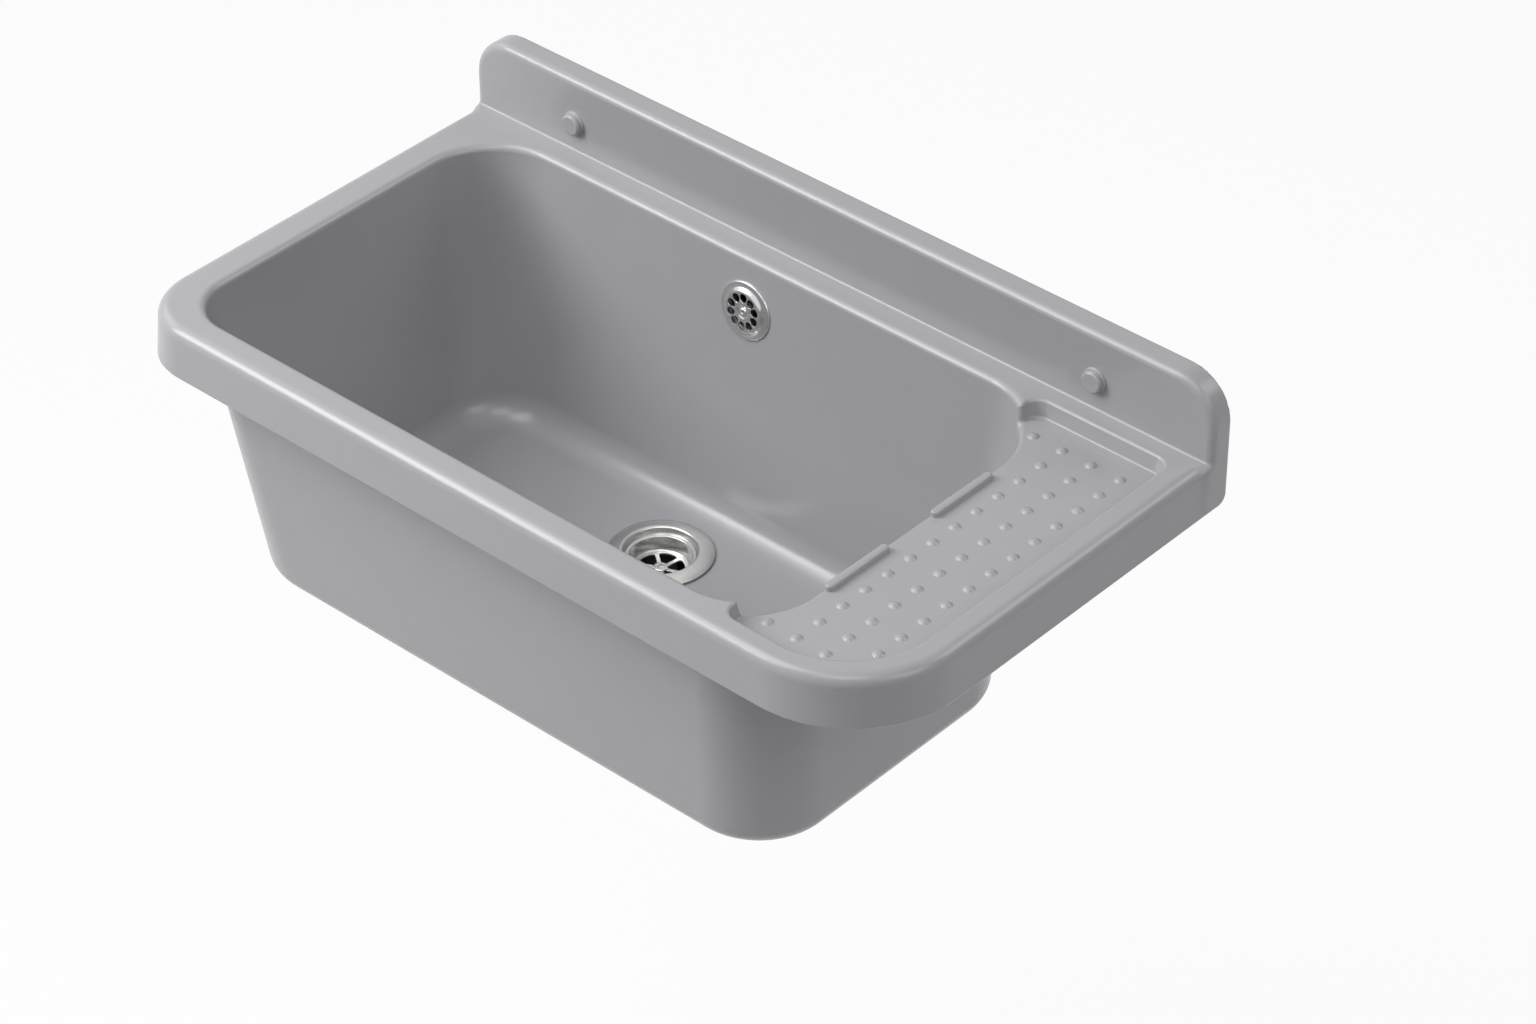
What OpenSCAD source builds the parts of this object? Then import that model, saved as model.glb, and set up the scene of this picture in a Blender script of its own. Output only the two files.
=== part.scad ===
// Wall-hung utility sink: one moulded basin with a deep bowl, a backsplash and
// a drip tray with raised studs, its strainer waste, its overflow and its wall
// fixings. X runs along the wall, Y points into the wall, Z is up. The origin
// is on the wall, midway between the two wall screws.

/* [Rim and skirt] */
// Length of the sink along the wall
sink_length = 600; // [570:5:640]
// Depth of the sink from the wall to its front edge
sink_depth = 325; // [310:5:360]
// Height of the skirt that hangs from the rim
skirt_height = 35; // [28:0.5:42]
// Lean of the skirt, in degrees
skirt_draft = 3.5; // [1:0.25:5]
// Rounding of the skirt's lower corners at the wall
skirt_corner_radius = 7; // [4:0.5:12]
// Thickness of the moulded walls
wall = 4; // [3:0.5:5]
// Rounding of the rim's outer edge
rim_edge_radius = 6; // [4:0.5:8]
// Plan radius of the front left corner
front_left_radius = 44; // [38:1:52]
// Plan radius of the front right corner
front_right_radius = 78; // [70:1:88]

/* [Backsplash] */
// Height of the backsplash above the rim
splash_height = 53; // [46:1:70]
// Thickness of the backsplash, from its face to the wall
splash_thickness = 16.5; // [14:0.5:20]
// Radius of the backsplash's two top corners
splash_corner_radius = 30; // [20:1:38]
// Rounding of the backsplash's front edge
splash_edge_radius = 5; // [3:0.5:7]
// Fillet between the rim and the backsplash
splash_fillet_radius = 1.5; // [1:0.5:4]

/* [Bowl] */
// Width of the rim left of the bowl
left_ledge = 28; // [26:1:36]
// Width of the rim in front of the bowl
front_ledge = 24; // [22:1:30]
// Width of the rim between the bowl and the backsplash
back_ledge = 17.5; // [16:0.5:24]
// Length of the bowl's mouth
bowl_length = 470; // [440:2:480]
// Depth of the bowl below the rim
bowl_depth = 196; // [170:1:230]
// Lean of the left, front and back walls of the bowl, in degrees
bowl_draft = 5.5; // [4:0.25:6.5]
// Lean of the right wall of the bowl, in degrees
bowl_end_draft = 3; // [1:0.25:4]
// Rounding of the bowl's mouth
mouth_radius = 4.5; // [3:0.5:6]
// Rounding between the bowl's walls and its floor
floor_radius = 8; // [6:1:18]
// Corner radius of the mouth, front left
mouth_front_left_radius = 33; // [28:1:40]
// Corner radius of the mouth, front right
mouth_front_right_radius = 48; // [42:1:52]
// Corner radius of the mouth, back right
mouth_back_right_radius = 51; // [45:1:57]
// Corner radius of the mouth, back left
mouth_back_left_radius = 51; // [45:1:57]
// Corner radius of the bowl at its floor
floor_corner_radius = 46; // [40:1:50]

/* [Drip tray] */
// Depth of the tray below the rim
tray_depth = 11.5; // [9:0.5:14]
// Width of the rim right of the tray
tray_right_ledge = 20; // [18:1:26]
// Width of the rim in front of the tray
tray_front_ledge = 18; // [15:1:22]
// Width of the rim between the tray and the backsplash
tray_back_ledge = 13; // [11:0.5:16]
// How far the tray's two ends reach round the bowl's corners
tray_overlap = 20; // [16:1:24]
// Plan radius of the tray's front right corner
tray_front_radius = 60; // [52:1:68]
// Plan radius of the tray's back right corner
tray_back_radius = 10; // [7:1:14]
// Rounding of the tray's top edge
tray_edge_radius = 2; // [1:0.5:4]
// Rounding at the foot of the tray's walls
tray_foot_radius = 1.2; // [0.8:0.2:3]
// Lean of the tray's walls, in degrees
tray_draft = 8; // [4:1:12]

/* [Tray studs and rib bars] */
// Columns of studs across the tray
stud_columns = 4; // [3:1:4]
// Rows of studs along the tray
stud_rows = 13; // [9:1:13]
// Distance between columns
stud_pitch_x = 21.8; // [19:0.1:23]
// Distance between rows
stud_pitch_y = 19.7; // [17:0.1:21]
// Radius of a stud at its foot
stud_radius = 3.8; // [3:0.1:4.5]
// Height of a stud
stud_height = 1.7; // [1.2:0.1:2.2]
// Distance from the last column to the tray's right edge
stud_margin_right = 21; // [18:0.5:26]
// Distance from the front row to the tray's front edge
stud_margin_front = 20.5; // [18:0.5:24]
// Least distance from a stud's centre to an edge of the tray
stud_clearance = 5.3; // [4.5:0.1:7]
// Length of a rib bar at the bowl's edge
bar_length = 53; // [40:1:60]
// Width of a rib bar
bar_width = 5.5; // [4:0.5:6]
// Height of a rib bar
bar_height = 4; // [3:0.5:6]
// Distance between the middles of the two rib bars
bar_spacing = 93; // [80:1:100]
// Distance from the sink's front edge to the middle of the pair of bars
bar_centre = 154.5; // [148:0.5:164]

/* [Wall fixings] */
// Distance between the two wall screws
screw_spacing = 424; // [380:2:460]
// Height of the wall screws above the rim
screw_height = 20.5; // [18:0.5:26]
// Radius of a wall screw's thread
screw_radius = 3; // [2.75:0.25:3.5]
// Radius of a wall screw's plain shank, inside the sink
shank_radius = 2.6; // [2.4:0.05:2.7]
// Length of a wall screw beyond the back of the sink
screw_reach = 30; // [20:5:60]
// Length of a wall screw's point
screw_point = 7; // [5:1:9]
// Radial clearance round a wall screw
screw_clearance = 0.5; // [0.3:0.1:1]
// Radius of a wall screw's blunt tip
screw_tip_radius = 0.4; // [0.2:0.1:0.6]
// Radius of a wall screw's head
head_radius = 4.6; // [4.2:0.1:4.8]
// Height of a wall screw's head
head_height = 2.2; // [1.8:0.1:2.3]
// Radius of the hexagonal recess in a wall screw's head
head_recess_radius = 2.1; // [1.8:0.1:2.3]
// Depth of the recess
head_recess_depth = 1.1; // [0.8:0.1:1.4]
// Radius of the boss behind the backsplash
boss_radius = 9; // [8:0.5:11]
// Radius of the collar under a cap
collar_radius = 8.3; // [7.8:0.1:9]
// Thickness of the collar
collar_thickness = 1.5; // [1:0.1:2.5]
// Radius of the collar's spigot, which holds the cap
spigot_radius = 5.5; // [5.4:0.05:5.6]
// Height of the collar's spigot
spigot_height = 2; // [1.5:0.1:2.5]
// Radius of a screw cap
cap_radius = 7.1; // [6.3:0.1:7.6]
// Height of a screw cap
cap_height = 3.5; // [3.4:0.1:5]
// Thickness of a screw cap's face
cap_face = 1; // [0.8:0.1:1.1]
// Chamfer of a screw cap's face
cap_chamfer = 0.8; // [0.5:0.1:1]
// Radial clearance between a cap and its spigot
cap_fit = 0.05; // [0.02:0.01:0.1]

/* [Waste] */
// Place of the waste along the wall
waste_x = -58.5; // [-80:0.5:0]
// Distance from the wall to the waste's axis
waste_back = 107; // [105:0.5:140]
// Radius of the strainer's flange
flange_radius = 35; // [34:0.5:37]
// Rise of the flange above its seal
flange_rise = 2.5; // [2:0.1:3.5]
// Radius of the strainer's cup at its lip
lip_radius = 25; // [24:0.5:26]
// Radius of the strainer's cup at its floor
cup_radius = 19; // [18:0.5:20]
// Depth of the strainer's cup below the lip
cup_depth = 15; // [12:0.5:18]
// Thickness of the strainer's sheet
sheet = 1.2; // [1:0.1:1.5]
// Number of openings in the floor of the strainer's cup
grid_openings = 6; // [5:1:8]
// Radius of the solid hub in the middle of the grid
grid_hub_radius = 6.8; // [6.5:0.1:7.5]
// Outer radius of the openings
grid_outer_radius = 16.8; // [15:0.1:17]
// Width of a spoke between two openings
spoke_width = 2.6; // [2:0.1:3.5]
// Radius of the waste hole in the bowl's floor
waste_hole_radius = 28; // [27.5:0.25:29]
// Thickness of the seal under the flange
flange_seal_thickness = 1.5; // [1:0.25:2.5]
// Thickness of the seal under the bowl
body_seal_thickness = 3; // [2:0.5:4]
// Radius of the waste body's flange
body_flange_radius = 35; // [34:0.5:38]
// Radius of the waste body's cup
body_radius = 30.5; // [30:0.25:32]
// Height of the waste body's cup
body_height = 42; // [40:1:52]
// Radius of the threaded outlet
outlet_radius = 23.9; // [20:0.1:25]
// Length of the threaded outlet
outlet_length = 28; // [20:1:40]
// Wall of the waste body
body_wall = 3; // [2.5:0.25:3.5]
// Drop from the underside of the bowl to the overflow inlet's axis
inlet_drop = 25; // [23:0.5:28]
// Radius of the strainer screw's shank
strainer_screw_radius = 3; // [2.5:0.25:3.5]
// Radius of the strainer screw's head
strainer_head_radius = 5.5; // [5:0.25:6]
// Height of the strainer screw's head
strainer_head_height = 2; // [1.5:0.25:2.5]
// Radius of the recess in the strainer screw's head
strainer_recess_radius = 2.6; // [2:0.1:2.8]
// Width across the flats of the brass nut in the waste body
nut_flats = 10; // [9:0.5:11]
// Height of the brass nut
nut_height = 5; // [4:0.5:6]

/* [Overflow] */
// Place of the overflow along the wall
overflow_x = -46.5; // [-80:0.5:0]
// Depth of the overflow's middle below the rim
overflow_drop = 37.5; // [36:0.5:50]
// Radius of the overflow rosette
rosette_radius = 20; // [19:0.5:22]
// Height of the rosette
rosette_height = 4; // [3.5:0.25:5]
// Depth of the dish in the rosette's middle
rosette_dish = 2; // [1.5:0.1:2.2]
// Number of holes in the rosette
rosette_holes = 10; // [8:1:10]
// Radius of a hole in the rosette
rosette_hole_radius = 2.6; // [2:0.1:2.7]
// Radius of the ring of holes
rosette_ring_radius = 9.8; // [9.6:0.1:10.5]
// Radius of the overflow hole in the bowl's back wall
overflow_hole_radius = 13.5; // [13.25:0.25:14.5]
// Thickness of the overflow seal
overflow_seal_thickness = 2; // [1.5:0.25:3]
// Radius of the elbow's flange and of its seal
elbow_flange_radius = 19.5; // [18.5:0.5:20]
// Radius of the elbow's chamber
elbow_radius = 15; // [14.5:0.25:16]
// Depth of the elbow's chamber behind its flange
elbow_depth = 22; // [21.5:0.25:23]
// Length of the elbow's hose spigot
hose_spigot_length = 18; // [15:1:22]
// Radius of the rosette screw
rosette_screw_radius = 2; // [1.75:0.25:2.25]
// Outer radius of the hose at its ribs
hose_radius = 12; // [11.5:0.25:12.25]
// Depth of the grooves between the hose's ribs
hose_groove = 1.6; // [1.2:0.1:1.8]
// Wall of the hose
hose_wall = 1; // [0.8:0.1:1.2]
// Radial clearance between the hose's bore and the elbow's spigot
hose_fit = 0.1; // [0.05:0.05:0.3]
// Number of ribs on the hose
hose_ribs = 44; // [30:1:60]
// Length of the straight stretch at each end of the hose
hose_straight = 24; // [24:1:28]
// Reach of the waste's inlet beyond its cup
inlet_reach = 9; // [9:0.5:14]
// Outer radius of the waste's inlet
inlet_radius = 14; // [13:0.25:14.5]
// Bore radius of the waste's inlet
inlet_bore = 10; // [9:0.25:11]
// Thickness of the hose washer
hose_washer_thickness = 2; // [1.5:0.25:3]
// Height of the clip that holds the hose on the elbow
clip_height = 7; // [5:0.5:9]
// Outer radius of the hose nut
hose_nut_radius = 18; // [17.5:0.25:19]
// Length of the hose nut
hose_nut_length = 16; // [14:1:20]

/* [Hidden] */
$fn = 64;

// Overlap that keeps a cut clear of the face it opens
cut = 1;
// Steps in a quarter turn of a lofted corner, and in a lofted fillet
corner_steps = 14;
fillet_steps = 6;

// The rim's top lies below the origin by the height of the wall screws
rim_z = -screw_height;
floor_z = rim_z - bowl_depth;
underside_z = floor_z - wall;
left_x = -sink_length / 2;
right_x = sink_length / 2;
front_y = -sink_depth;
splash_face_y = -splash_thickness;

// Corners of the bowl's mouth, extended to the rim's top
bowl_left = left_x + left_ledge;
bowl_right = bowl_left + bowl_length;
bowl_front = front_y + front_ledge;
bowl_back = splash_face_y - back_ledge;
mouth_radii = [mouth_front_left_radius, mouth_front_right_radius,
               mouth_back_right_radius, mouth_back_left_radius];

// Corners of the tray at the rim's top
tray_left = bowl_right - tray_overlap;
tray_right = right_x - tray_right_ledge;
tray_front = front_y + tray_front_ledge;
tray_back = splash_face_y - tray_back_ledge;
tray_radii = [tray_back_radius, tray_front_radius, tray_back_radius, tray_back_radius];
tray_z = rim_z - tray_depth;

// A closed ring of points: a rectangle whose four corners have radii of their own,
// front left, front right, back right and back left
function ring(x0, x1, y0, y1, radii, z) = [
    for (c = [[x0 + radii[0], y0 + radii[0], radii[0], 180],
              [x1 - radii[1], y0 + radii[1], radii[1], 270],
              [x1 - radii[2], y1 - radii[2], radii[2], 0],
              [x0 + radii[3], y1 - radii[3], radii[3], 90]])
        for (i = [0:corner_steps])
            let (a = c[3] + 90 * i / corner_steps)
                [c[0] + c[2] * cos(a), c[1] + c[2] * sin(a), z]];

// A solid through a list of rings, from the lowest to the highest
module loft(rings) {
    n = len(rings[0]);
    top = len(rings) - 1;
    polyhedron(
        points = [for (r = rings) each r],
        faces = concat(
            [[for (i = [0:n - 1]) i]],
            [for (k = [0:top - 1]) for (i = [0:n - 1])
                [k * n + i, (k + 1) * n + i, (k + 1) * n + (i + 1) % n, k * n + (i + 1) % n]],
            [[for (i = [n - 1:-1:0]) top * n + i]]),
        convexity = 6);
}

// Ring of the bowl at a depth below the rim, moved outwards by grow
function bowl_ring(depth, grow) =
    let (lean = depth * tan(bowl_draft),
         end_lean = depth * tan(bowl_end_draft),
         down = max(0, min(1, depth / bowl_depth)),
         radii = [for (r = mouth_radii) r + (floor_corner_radius - r) * down + grow])
        ring(bowl_left + lean - grow, bowl_right - end_lean + grow,
             bowl_front + lean - grow, bowl_back - lean + grow, radii, rim_z - depth);

// Rings of the rounding between a floor at a depth and the walls above it
function bowl_floor_rings(depth, radius, grow) = [
    for (i = [0:fillet_steps])
        let (a = 90 * i / fillet_steps)
            bowl_ring(depth - radius * (1 - cos(a)), grow - radius * (1 - sin(a)))];

// Water space of the bowl, with its rounded floor and its flared mouth
module bowl_space() {
    mouth = [for (i = [0:fillet_steps])
        let (a = 90 * i / fillet_steps)
            bowl_ring(mouth_radius * (1 - sin(a)), mouth_radius * (1 - cos(a)))];
    loft(concat(bowl_floor_rings(bowl_depth, floor_radius, 0), mouth,
                [bowl_ring(-cut, mouth_radius)]));
}

// Outside of the bowl, up to the underside of the rim
module bowl_outside() {
    loft(concat(bowl_floor_rings(bowl_depth + wall, floor_radius + wall, wall),
                [bowl_ring(wall / 2, wall)]));
}

// Signed distance of a point to a rectangle whose corner on the point's side has radius r
function corner_distance(p, x0, x1, y0, y1, r) =
    let (qx = max(x0 + r - p[0], p[0] - x1 + r),
         qy = max(y0 + r - p[1], p[1] - y1 + r))
        min(max(qx, qy), 0) + norm([max(qx, 0), max(qy, 0)]) - r;

// A stud is left out where it would lie over the bowl or too near the tray's wall
function on_tray(p) =
    let (middle = (bowl_front + bowl_back) / 2,
         mouth_r = p[1] > middle ? mouth_back_right_radius : mouth_front_right_radius,
         tray_r = p[0] > tray_right - tray_front_radius && p[1] < tray_front + tray_front_radius
             ? tray_front_radius : tray_back_radius)
        corner_distance(p, bowl_left, bowl_right, bowl_front, bowl_back, mouth_r) > stud_clearance
        && corner_distance(p, tray_left, tray_right, tray_front, tray_back, tray_r) < -stud_clearance;

// Low domes that keep dishes clear of the tray's floor
module studs() {
    ball = (stud_radius * stud_radius + stud_height * stud_height) / (2 * stud_height);
    for (column = [0:stud_columns - 1])
        for (row = [0:stud_rows - 1]) {
            x = tray_right - stud_margin_right - column * stud_pitch_x;
            y = tray_front + stud_margin_front + row * stud_pitch_y;
            if (on_tray([x, y]))
                translate([x, y, tray_z + stud_height - ball])
                    rotate_extrude()
                        intersection() {
                            circle(r = ball);
                            translate([0, ball - stud_height - cut])
                                square([stud_radius + cut, stud_height + 2 * cut]);
                        }
        }
}

// Two raised bars where the tray spills into the bowl
module rib_bars() {
    for (side = [-1, 1])
        translate([bowl_right + bar_width / 2 - tray_depth * tan(bowl_end_draft),
                   front_y + bar_centre + side * bar_spacing / 2, tray_z - cut])
            linear_extrude(bar_height + cut) {
                square([bar_width, bar_length - bar_width], center = true);
                for (end = [-1, 1])
                    translate([0, end * (bar_length - bar_width) / 2])
                        circle(d = bar_width, $fn = 32);
            }
}

// Ring of the tray at a depth below the rim, moved outwards by grow
function tray_ring(depth, grow) =
    let (shift = grow - depth * tan(tray_draft),
         radii = [for (r = tray_radii) r + shift])
        ring(tray_left - shift, tray_right + shift, tray_front - shift, tray_back + shift,
             radii, rim_z - depth);

// Space above the tray's floor
module tray_space() {
    foot = [for (i = [0:fillet_steps])
        let (a = 90 * i / fillet_steps)
            tray_ring(tray_depth - tray_foot_radius * (1 - cos(a)), -tray_foot_radius * (1 - sin(a)))];
    edge = [for (i = [0:fillet_steps])
        let (a = 90 * i / fillet_steps)
            tray_ring(tray_edge_radius * (1 - sin(a)), tray_edge_radius * (1 / 2 - cos(a)))];
    loft(concat(foot, edge, [tray_ring(-cut, tray_edge_radius / 2)]));
}

// Underside of the tray
module tray_pan() {
    loft([tray_ring(tray_depth + wall, wall), tray_ring(wall / 2, wall)]);
}

// Plan of the rim and skirt at a depth below the rim's top, moved inwards by inset
// and run past the wall
function rim_ring(depth, inset) =
    let (shift = inset + (skirt_height - depth) * tan(skirt_draft))
        ring(left_x + shift, right_x - shift, front_y + shift, cut + shift,
             [front_left_radius - shift, front_right_radius - shift, cut / 2, cut / 2], rim_z - depth);

// Rim and skirt as a solid block with a rounded top edge
module rim_block() {
    loft(concat([rim_ring(skirt_height, 0)],
                [for (i = [0:fillet_steps])
                    let (a = 90 * i / fillet_steps)
                        rim_ring(rim_edge_radius * (1 - sin(a)), rim_edge_radius * (1 - cos(a)))]));
}

// Outline of the backsplash, from below the skirt's foot by drop to the top, moved
// inwards by inset
function splash_ring(inset, y, drop = 0) =
    let (top_z = rim_z + splash_height - inset,
         foot_z = rim_z - skirt_height - drop,
         r = splash_corner_radius - inset)
        concat([[left_x + inset, y, foot_z]],
               [for (i = [0:corner_steps])
                   let (a = 180 - 90 * i / corner_steps)
                       [left_x + inset + r + r * cos(a), y, top_z - r + r * sin(a)]],
               [for (i = [0:corner_steps])
                   let (a = 90 - 90 * i / corner_steps)
                       [right_x - inset - r + r * cos(a), y, top_z - r + r * sin(a)]],
               [[right_x - inset, y, foot_z]]);

// Backsplash and end returns as a solid block with a rounded front edge
module splash_block() {
    face = [for (i = [0:fillet_steps])
        let (a = 90 * i / fillet_steps)
            splash_ring(splash_edge_radius * (1 - sin(a)),
                        splash_face_y + splash_edge_radius * (1 - cos(a)))];
    loft(concat(face, [splash_ring(0, 0)]));
}

// Strip that rounds the corner between the rim and the backsplash
module splash_fillet() {
    reach = splash_fillet_radius;
    translate([left_x + splash_edge_radius, splash_face_y, rim_z])
        rotate([90, 0, 90])
            linear_extrude(sink_length - 2 * splash_edge_radius)
                difference() {
                    translate([-reach, -wall / 2])
                        square([reach + wall / 2, reach + wall / 2]);
                    translate([-reach, reach])
                        circle(r = reach);
                }
}

// Space inside the rim, the skirt and the backsplash, open below and behind
module hollow_below() {
    loft([for (depth = [skirt_height + cut, wall]) rim_ring(depth, wall)]);
    loft([for (y = [splash_face_y + wall, cut]) splash_ring(wall, y, cut)]);
}

// Cutter that rounds the skirt's lower corners at the wall
module skirt_corners() {
    r = skirt_corner_radius;
    translate([left_x - cut, 0, rim_z - skirt_height])
        rotate([90, 0, 90])
            linear_extrude(sink_length + 2 * cut)
                difference() {
                    translate([-r, -cut])
                        square([r + cut, r + cut]);
                    translate([-r, r])
                        circle(r = r);
                }
}

// Runs a child from the backsplash's face to the wall at a screw
module at_screws(side) {
    translate([side * screw_spacing / 2, splash_face_y, 0])
        rotate([-90, 0, 0])
            children();
}

// Point of the bowl's back wall at the overflow's height; local Z points into the bowl
module at_overflow() {
    translate([overflow_x, bowl_back - overflow_drop * tan(bowl_draft), rim_z - overflow_drop])
        rotate([90 - bowl_draft, 0, 0])
            children();
}

// Axis of the waste at the underside of the bowl
module at_waste() {
    translate([waste_x, -waste_back, underside_z])
        children();
}

// Rim, skirt and backsplash as one shell, open below and behind
module rim_shell() {
    difference() {
        union() {
            rim_block();
            splash_block();
        }
        hollow_below();
        translate([left_x - cut, 0, rim_z - skirt_height - cut])
            cube([sink_length + 2 * cut, sink_depth, skirt_height + splash_height]);
        skirt_corners();
    }
}

// Holes for the wall screws, the overflow and the waste
module basin_holes() {
    for (side = [-1, 1])
        at_screws(side)
            translate([0, 0, -cut])
                cylinder(r = screw_radius + screw_clearance, h = splash_thickness + 2 * cut);
    at_overflow()
        translate([0, 0, -2 * wall])
            cylinder(r = overflow_hole_radius, h = 3 * wall);
    at_waste()
        translate([0, 0, -cut])
            cylinder(r = waste_hole_radius, h = wall + 2 * cut);
}

module basin() {
    color("#a6a5aa") {
        difference() {
            union() {
                rim_shell();
                splash_fillet();
                bowl_outside();
                tray_pan();
                for (side = [-1, 1])
                    at_screws(side)
                        translate([0, 0, wall / 2])
                            cylinder(r = boss_radius, h = splash_thickness - wall / 2);
            }
            bowl_space();
            tray_space();
            basin_holes();
        }
        studs();
        rib_bars();
    }
}

// Radial slack round a wall screw's head in the collar
head_slack = 0.15;

module wall_screw(side) {
    color("#c9ccce")
        at_screws(side) {
            translate([0, 0, -collar_thickness])
                cylinder(r = shank_radius, h = collar_thickness + splash_thickness);
            translate([0, 0, splash_thickness])
                cylinder(r = screw_radius, h = screw_reach - screw_point);
            translate([0, 0, splash_thickness + screw_reach - screw_point])
                cylinder(r1 = screw_radius, r2 = screw_tip_radius, h = screw_point);
            translate([0, 0, -collar_thickness - head_height])
                difference() {
                    cylinder(r = head_radius, h = head_height);
                    translate([0, 0, -cut])
                        cylinder(r = head_recess_radius, h = head_recess_depth + cut, $fn = 6);
                }
        }
}

module cap_collar(side) {
    color("#a3a2a7")
        at_screws(side)
            difference() {
                union() {
                    translate([0, 0, -collar_thickness])
                        cylinder(r = collar_radius, h = collar_thickness);
                    translate([0, 0, -collar_thickness - spigot_height])
                        cylinder(r = spigot_radius, h = spigot_height);
                }
                translate([0, 0, -collar_thickness - cut])
                    cylinder(r = screw_radius + screw_clearance, h = collar_thickness + 2 * cut);
                translate([0, 0, -collar_thickness - spigot_height - cut])
                    cylinder(r = head_radius + head_slack, h = spigot_height + cut);
            }
}

module screw_cap(side) {
    color("#acabb0")
        at_screws(side)
            translate([0, 0, -collar_thickness - cap_height])
                difference() {
                    rotate_extrude()
                        polygon([[0, 0], [cap_radius - cap_chamfer, 0], [cap_radius, cap_chamfer],
                                 [cap_radius, cap_height], [0, cap_height]]);
                    translate([0, 0, cap_face])
                        cylinder(r = spigot_radius + cap_fit, h = cap_height);
                }
}

// The strainer's underside rests on its seal; its cup hangs in the waste hole
seal_top = wall + flange_seal_thickness;
lip_z = seal_top + flange_rise;
cup_floor_z = lip_z - cup_depth;

// Turn of the grid's openings about the waste, and slack round a screw's shank
grid_turn = -8;
screw_slack = 0.3;

// Fit of a seal's bore and of a seal's rim, and interference of a thread in its nut
seal_slack = 0.3;
thread_fit = 0.05;

// Top of the brass nut, below the inlet's axis; the strainer screw runs past the nut
nut_drop = 6;
nut_z = -inlet_drop - nut_drop;
screw_past_nut = 3;

module strainer_flange() {
    step_radius = (lip_radius + cup_radius) / 2;
    step_z = (lip_z + cup_floor_z) / 2;
    color("#c8c8c4")
        at_waste()
            difference() {
                rotate_extrude()
                    polygon([
                        [flange_radius, seal_top - flange_seal_thickness / 2],
                        [flange_radius, seal_top + sheet / 2],
                        [flange_radius - 3, lip_z - 0.8],
                        [lip_radius + 4, lip_z],
                        [lip_radius + 1, lip_z - 0.4],
                        [lip_radius, lip_z - 1.8],
                        [lip_radius - 0.5, step_z],
                        [step_radius, step_z - 0.6],
                        [cup_radius, cup_floor_z + 1],
                        [cup_radius - 1, cup_floor_z],
                        [0, cup_floor_z],
                        [0, cup_floor_z - sheet],
                        [cup_radius - 0.4, cup_floor_z - sheet],
                        [cup_radius + sheet, cup_floor_z + 0.6],
                        [step_radius + sheet, step_z - sheet - 0.9],
                        [lip_radius + 0.7, step_z - sheet],
                        [lip_radius + sheet, lip_z - 2.6],
                        [lip_radius + 2, seal_top],
                        [flange_radius - sheet, seal_top],
                        [flange_radius - sheet, seal_top - flange_seal_thickness / 2]]);
                translate([0, 0, cup_floor_z - sheet - cut]) {
                    cylinder(r = strainer_screw_radius + screw_slack, h = sheet + 2 * cut);
                    for (i = [0:grid_openings - 1])
                        rotate(grid_turn + 360 * i / grid_openings)
                            grid_opening();
                }
            }
}

// One opening of the grid: a sector of a ring between two spokes
module grid_opening() {
    half_turn = 180 / grid_openings;
    reach = 2 * grid_outer_radius;
    tip = spoke_width / 2 / sin(half_turn);
    linear_extrude(sheet + 2 * cut)
        intersection() {
            difference() {
                circle(r = grid_outer_radius);
                circle(r = grid_hub_radius);
            }
            polygon([[tip, 0], [tip + reach, -reach * tan(half_turn)],
                     [tip + reach, reach * tan(half_turn)]]);
        }
}

module strainer_screw() {
    head_taper = 1;
    tip_z = nut_z - nut_height - screw_past_nut;
    color("#d0d1cf")
        at_waste() {
            translate([0, 0, tip_z])
                cylinder(r = strainer_screw_radius, h = cup_floor_z - tip_z);
            translate([0, 0, cup_floor_z])
                difference() {
                    cylinder(r1 = strainer_head_radius, r2 = strainer_head_radius - head_taper,
                             h = strainer_head_height);
                    translate([0, 0, strainer_head_height / 4])
                        cylinder(r = strainer_recess_radius, h = strainer_head_height, $fn = 6);
                }
        }
}

module flange_seal() {
    color("#2b2b2d")
        at_waste()
            translate([0, 0, wall])
                difference() {
                    cylinder(r = flange_radius - sheet - seal_slack, h = flange_seal_thickness);
                    translate([0, 0, -cut])
                        cylinder(r = waste_hole_radius + seal_slack, h = flange_seal_thickness + 2 * cut);
                }
}

module body_seal() {
    color("#2b2b2d")
        at_waste()
            translate([0, 0, -body_seal_thickness])
                difference() {
                    cylinder(r = body_flange_radius - 1, h = body_seal_thickness);
                    translate([0, 0, -cut])
                        cylinder(r = waste_hole_radius, h = body_seal_thickness + 2 * cut);
                }
}

// Place of the overflow inlet on the waste body; local Z points to the wall
inlet_length = body_radius + inlet_reach;
module at_inlet() {
    at_waste()
        translate([0, 0, -inlet_drop])
            rotate([-90, 0, 0])
                children();
}

// Thickness of the flange that presses the seal against the bowl
body_flange_thickness = 4;

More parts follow.
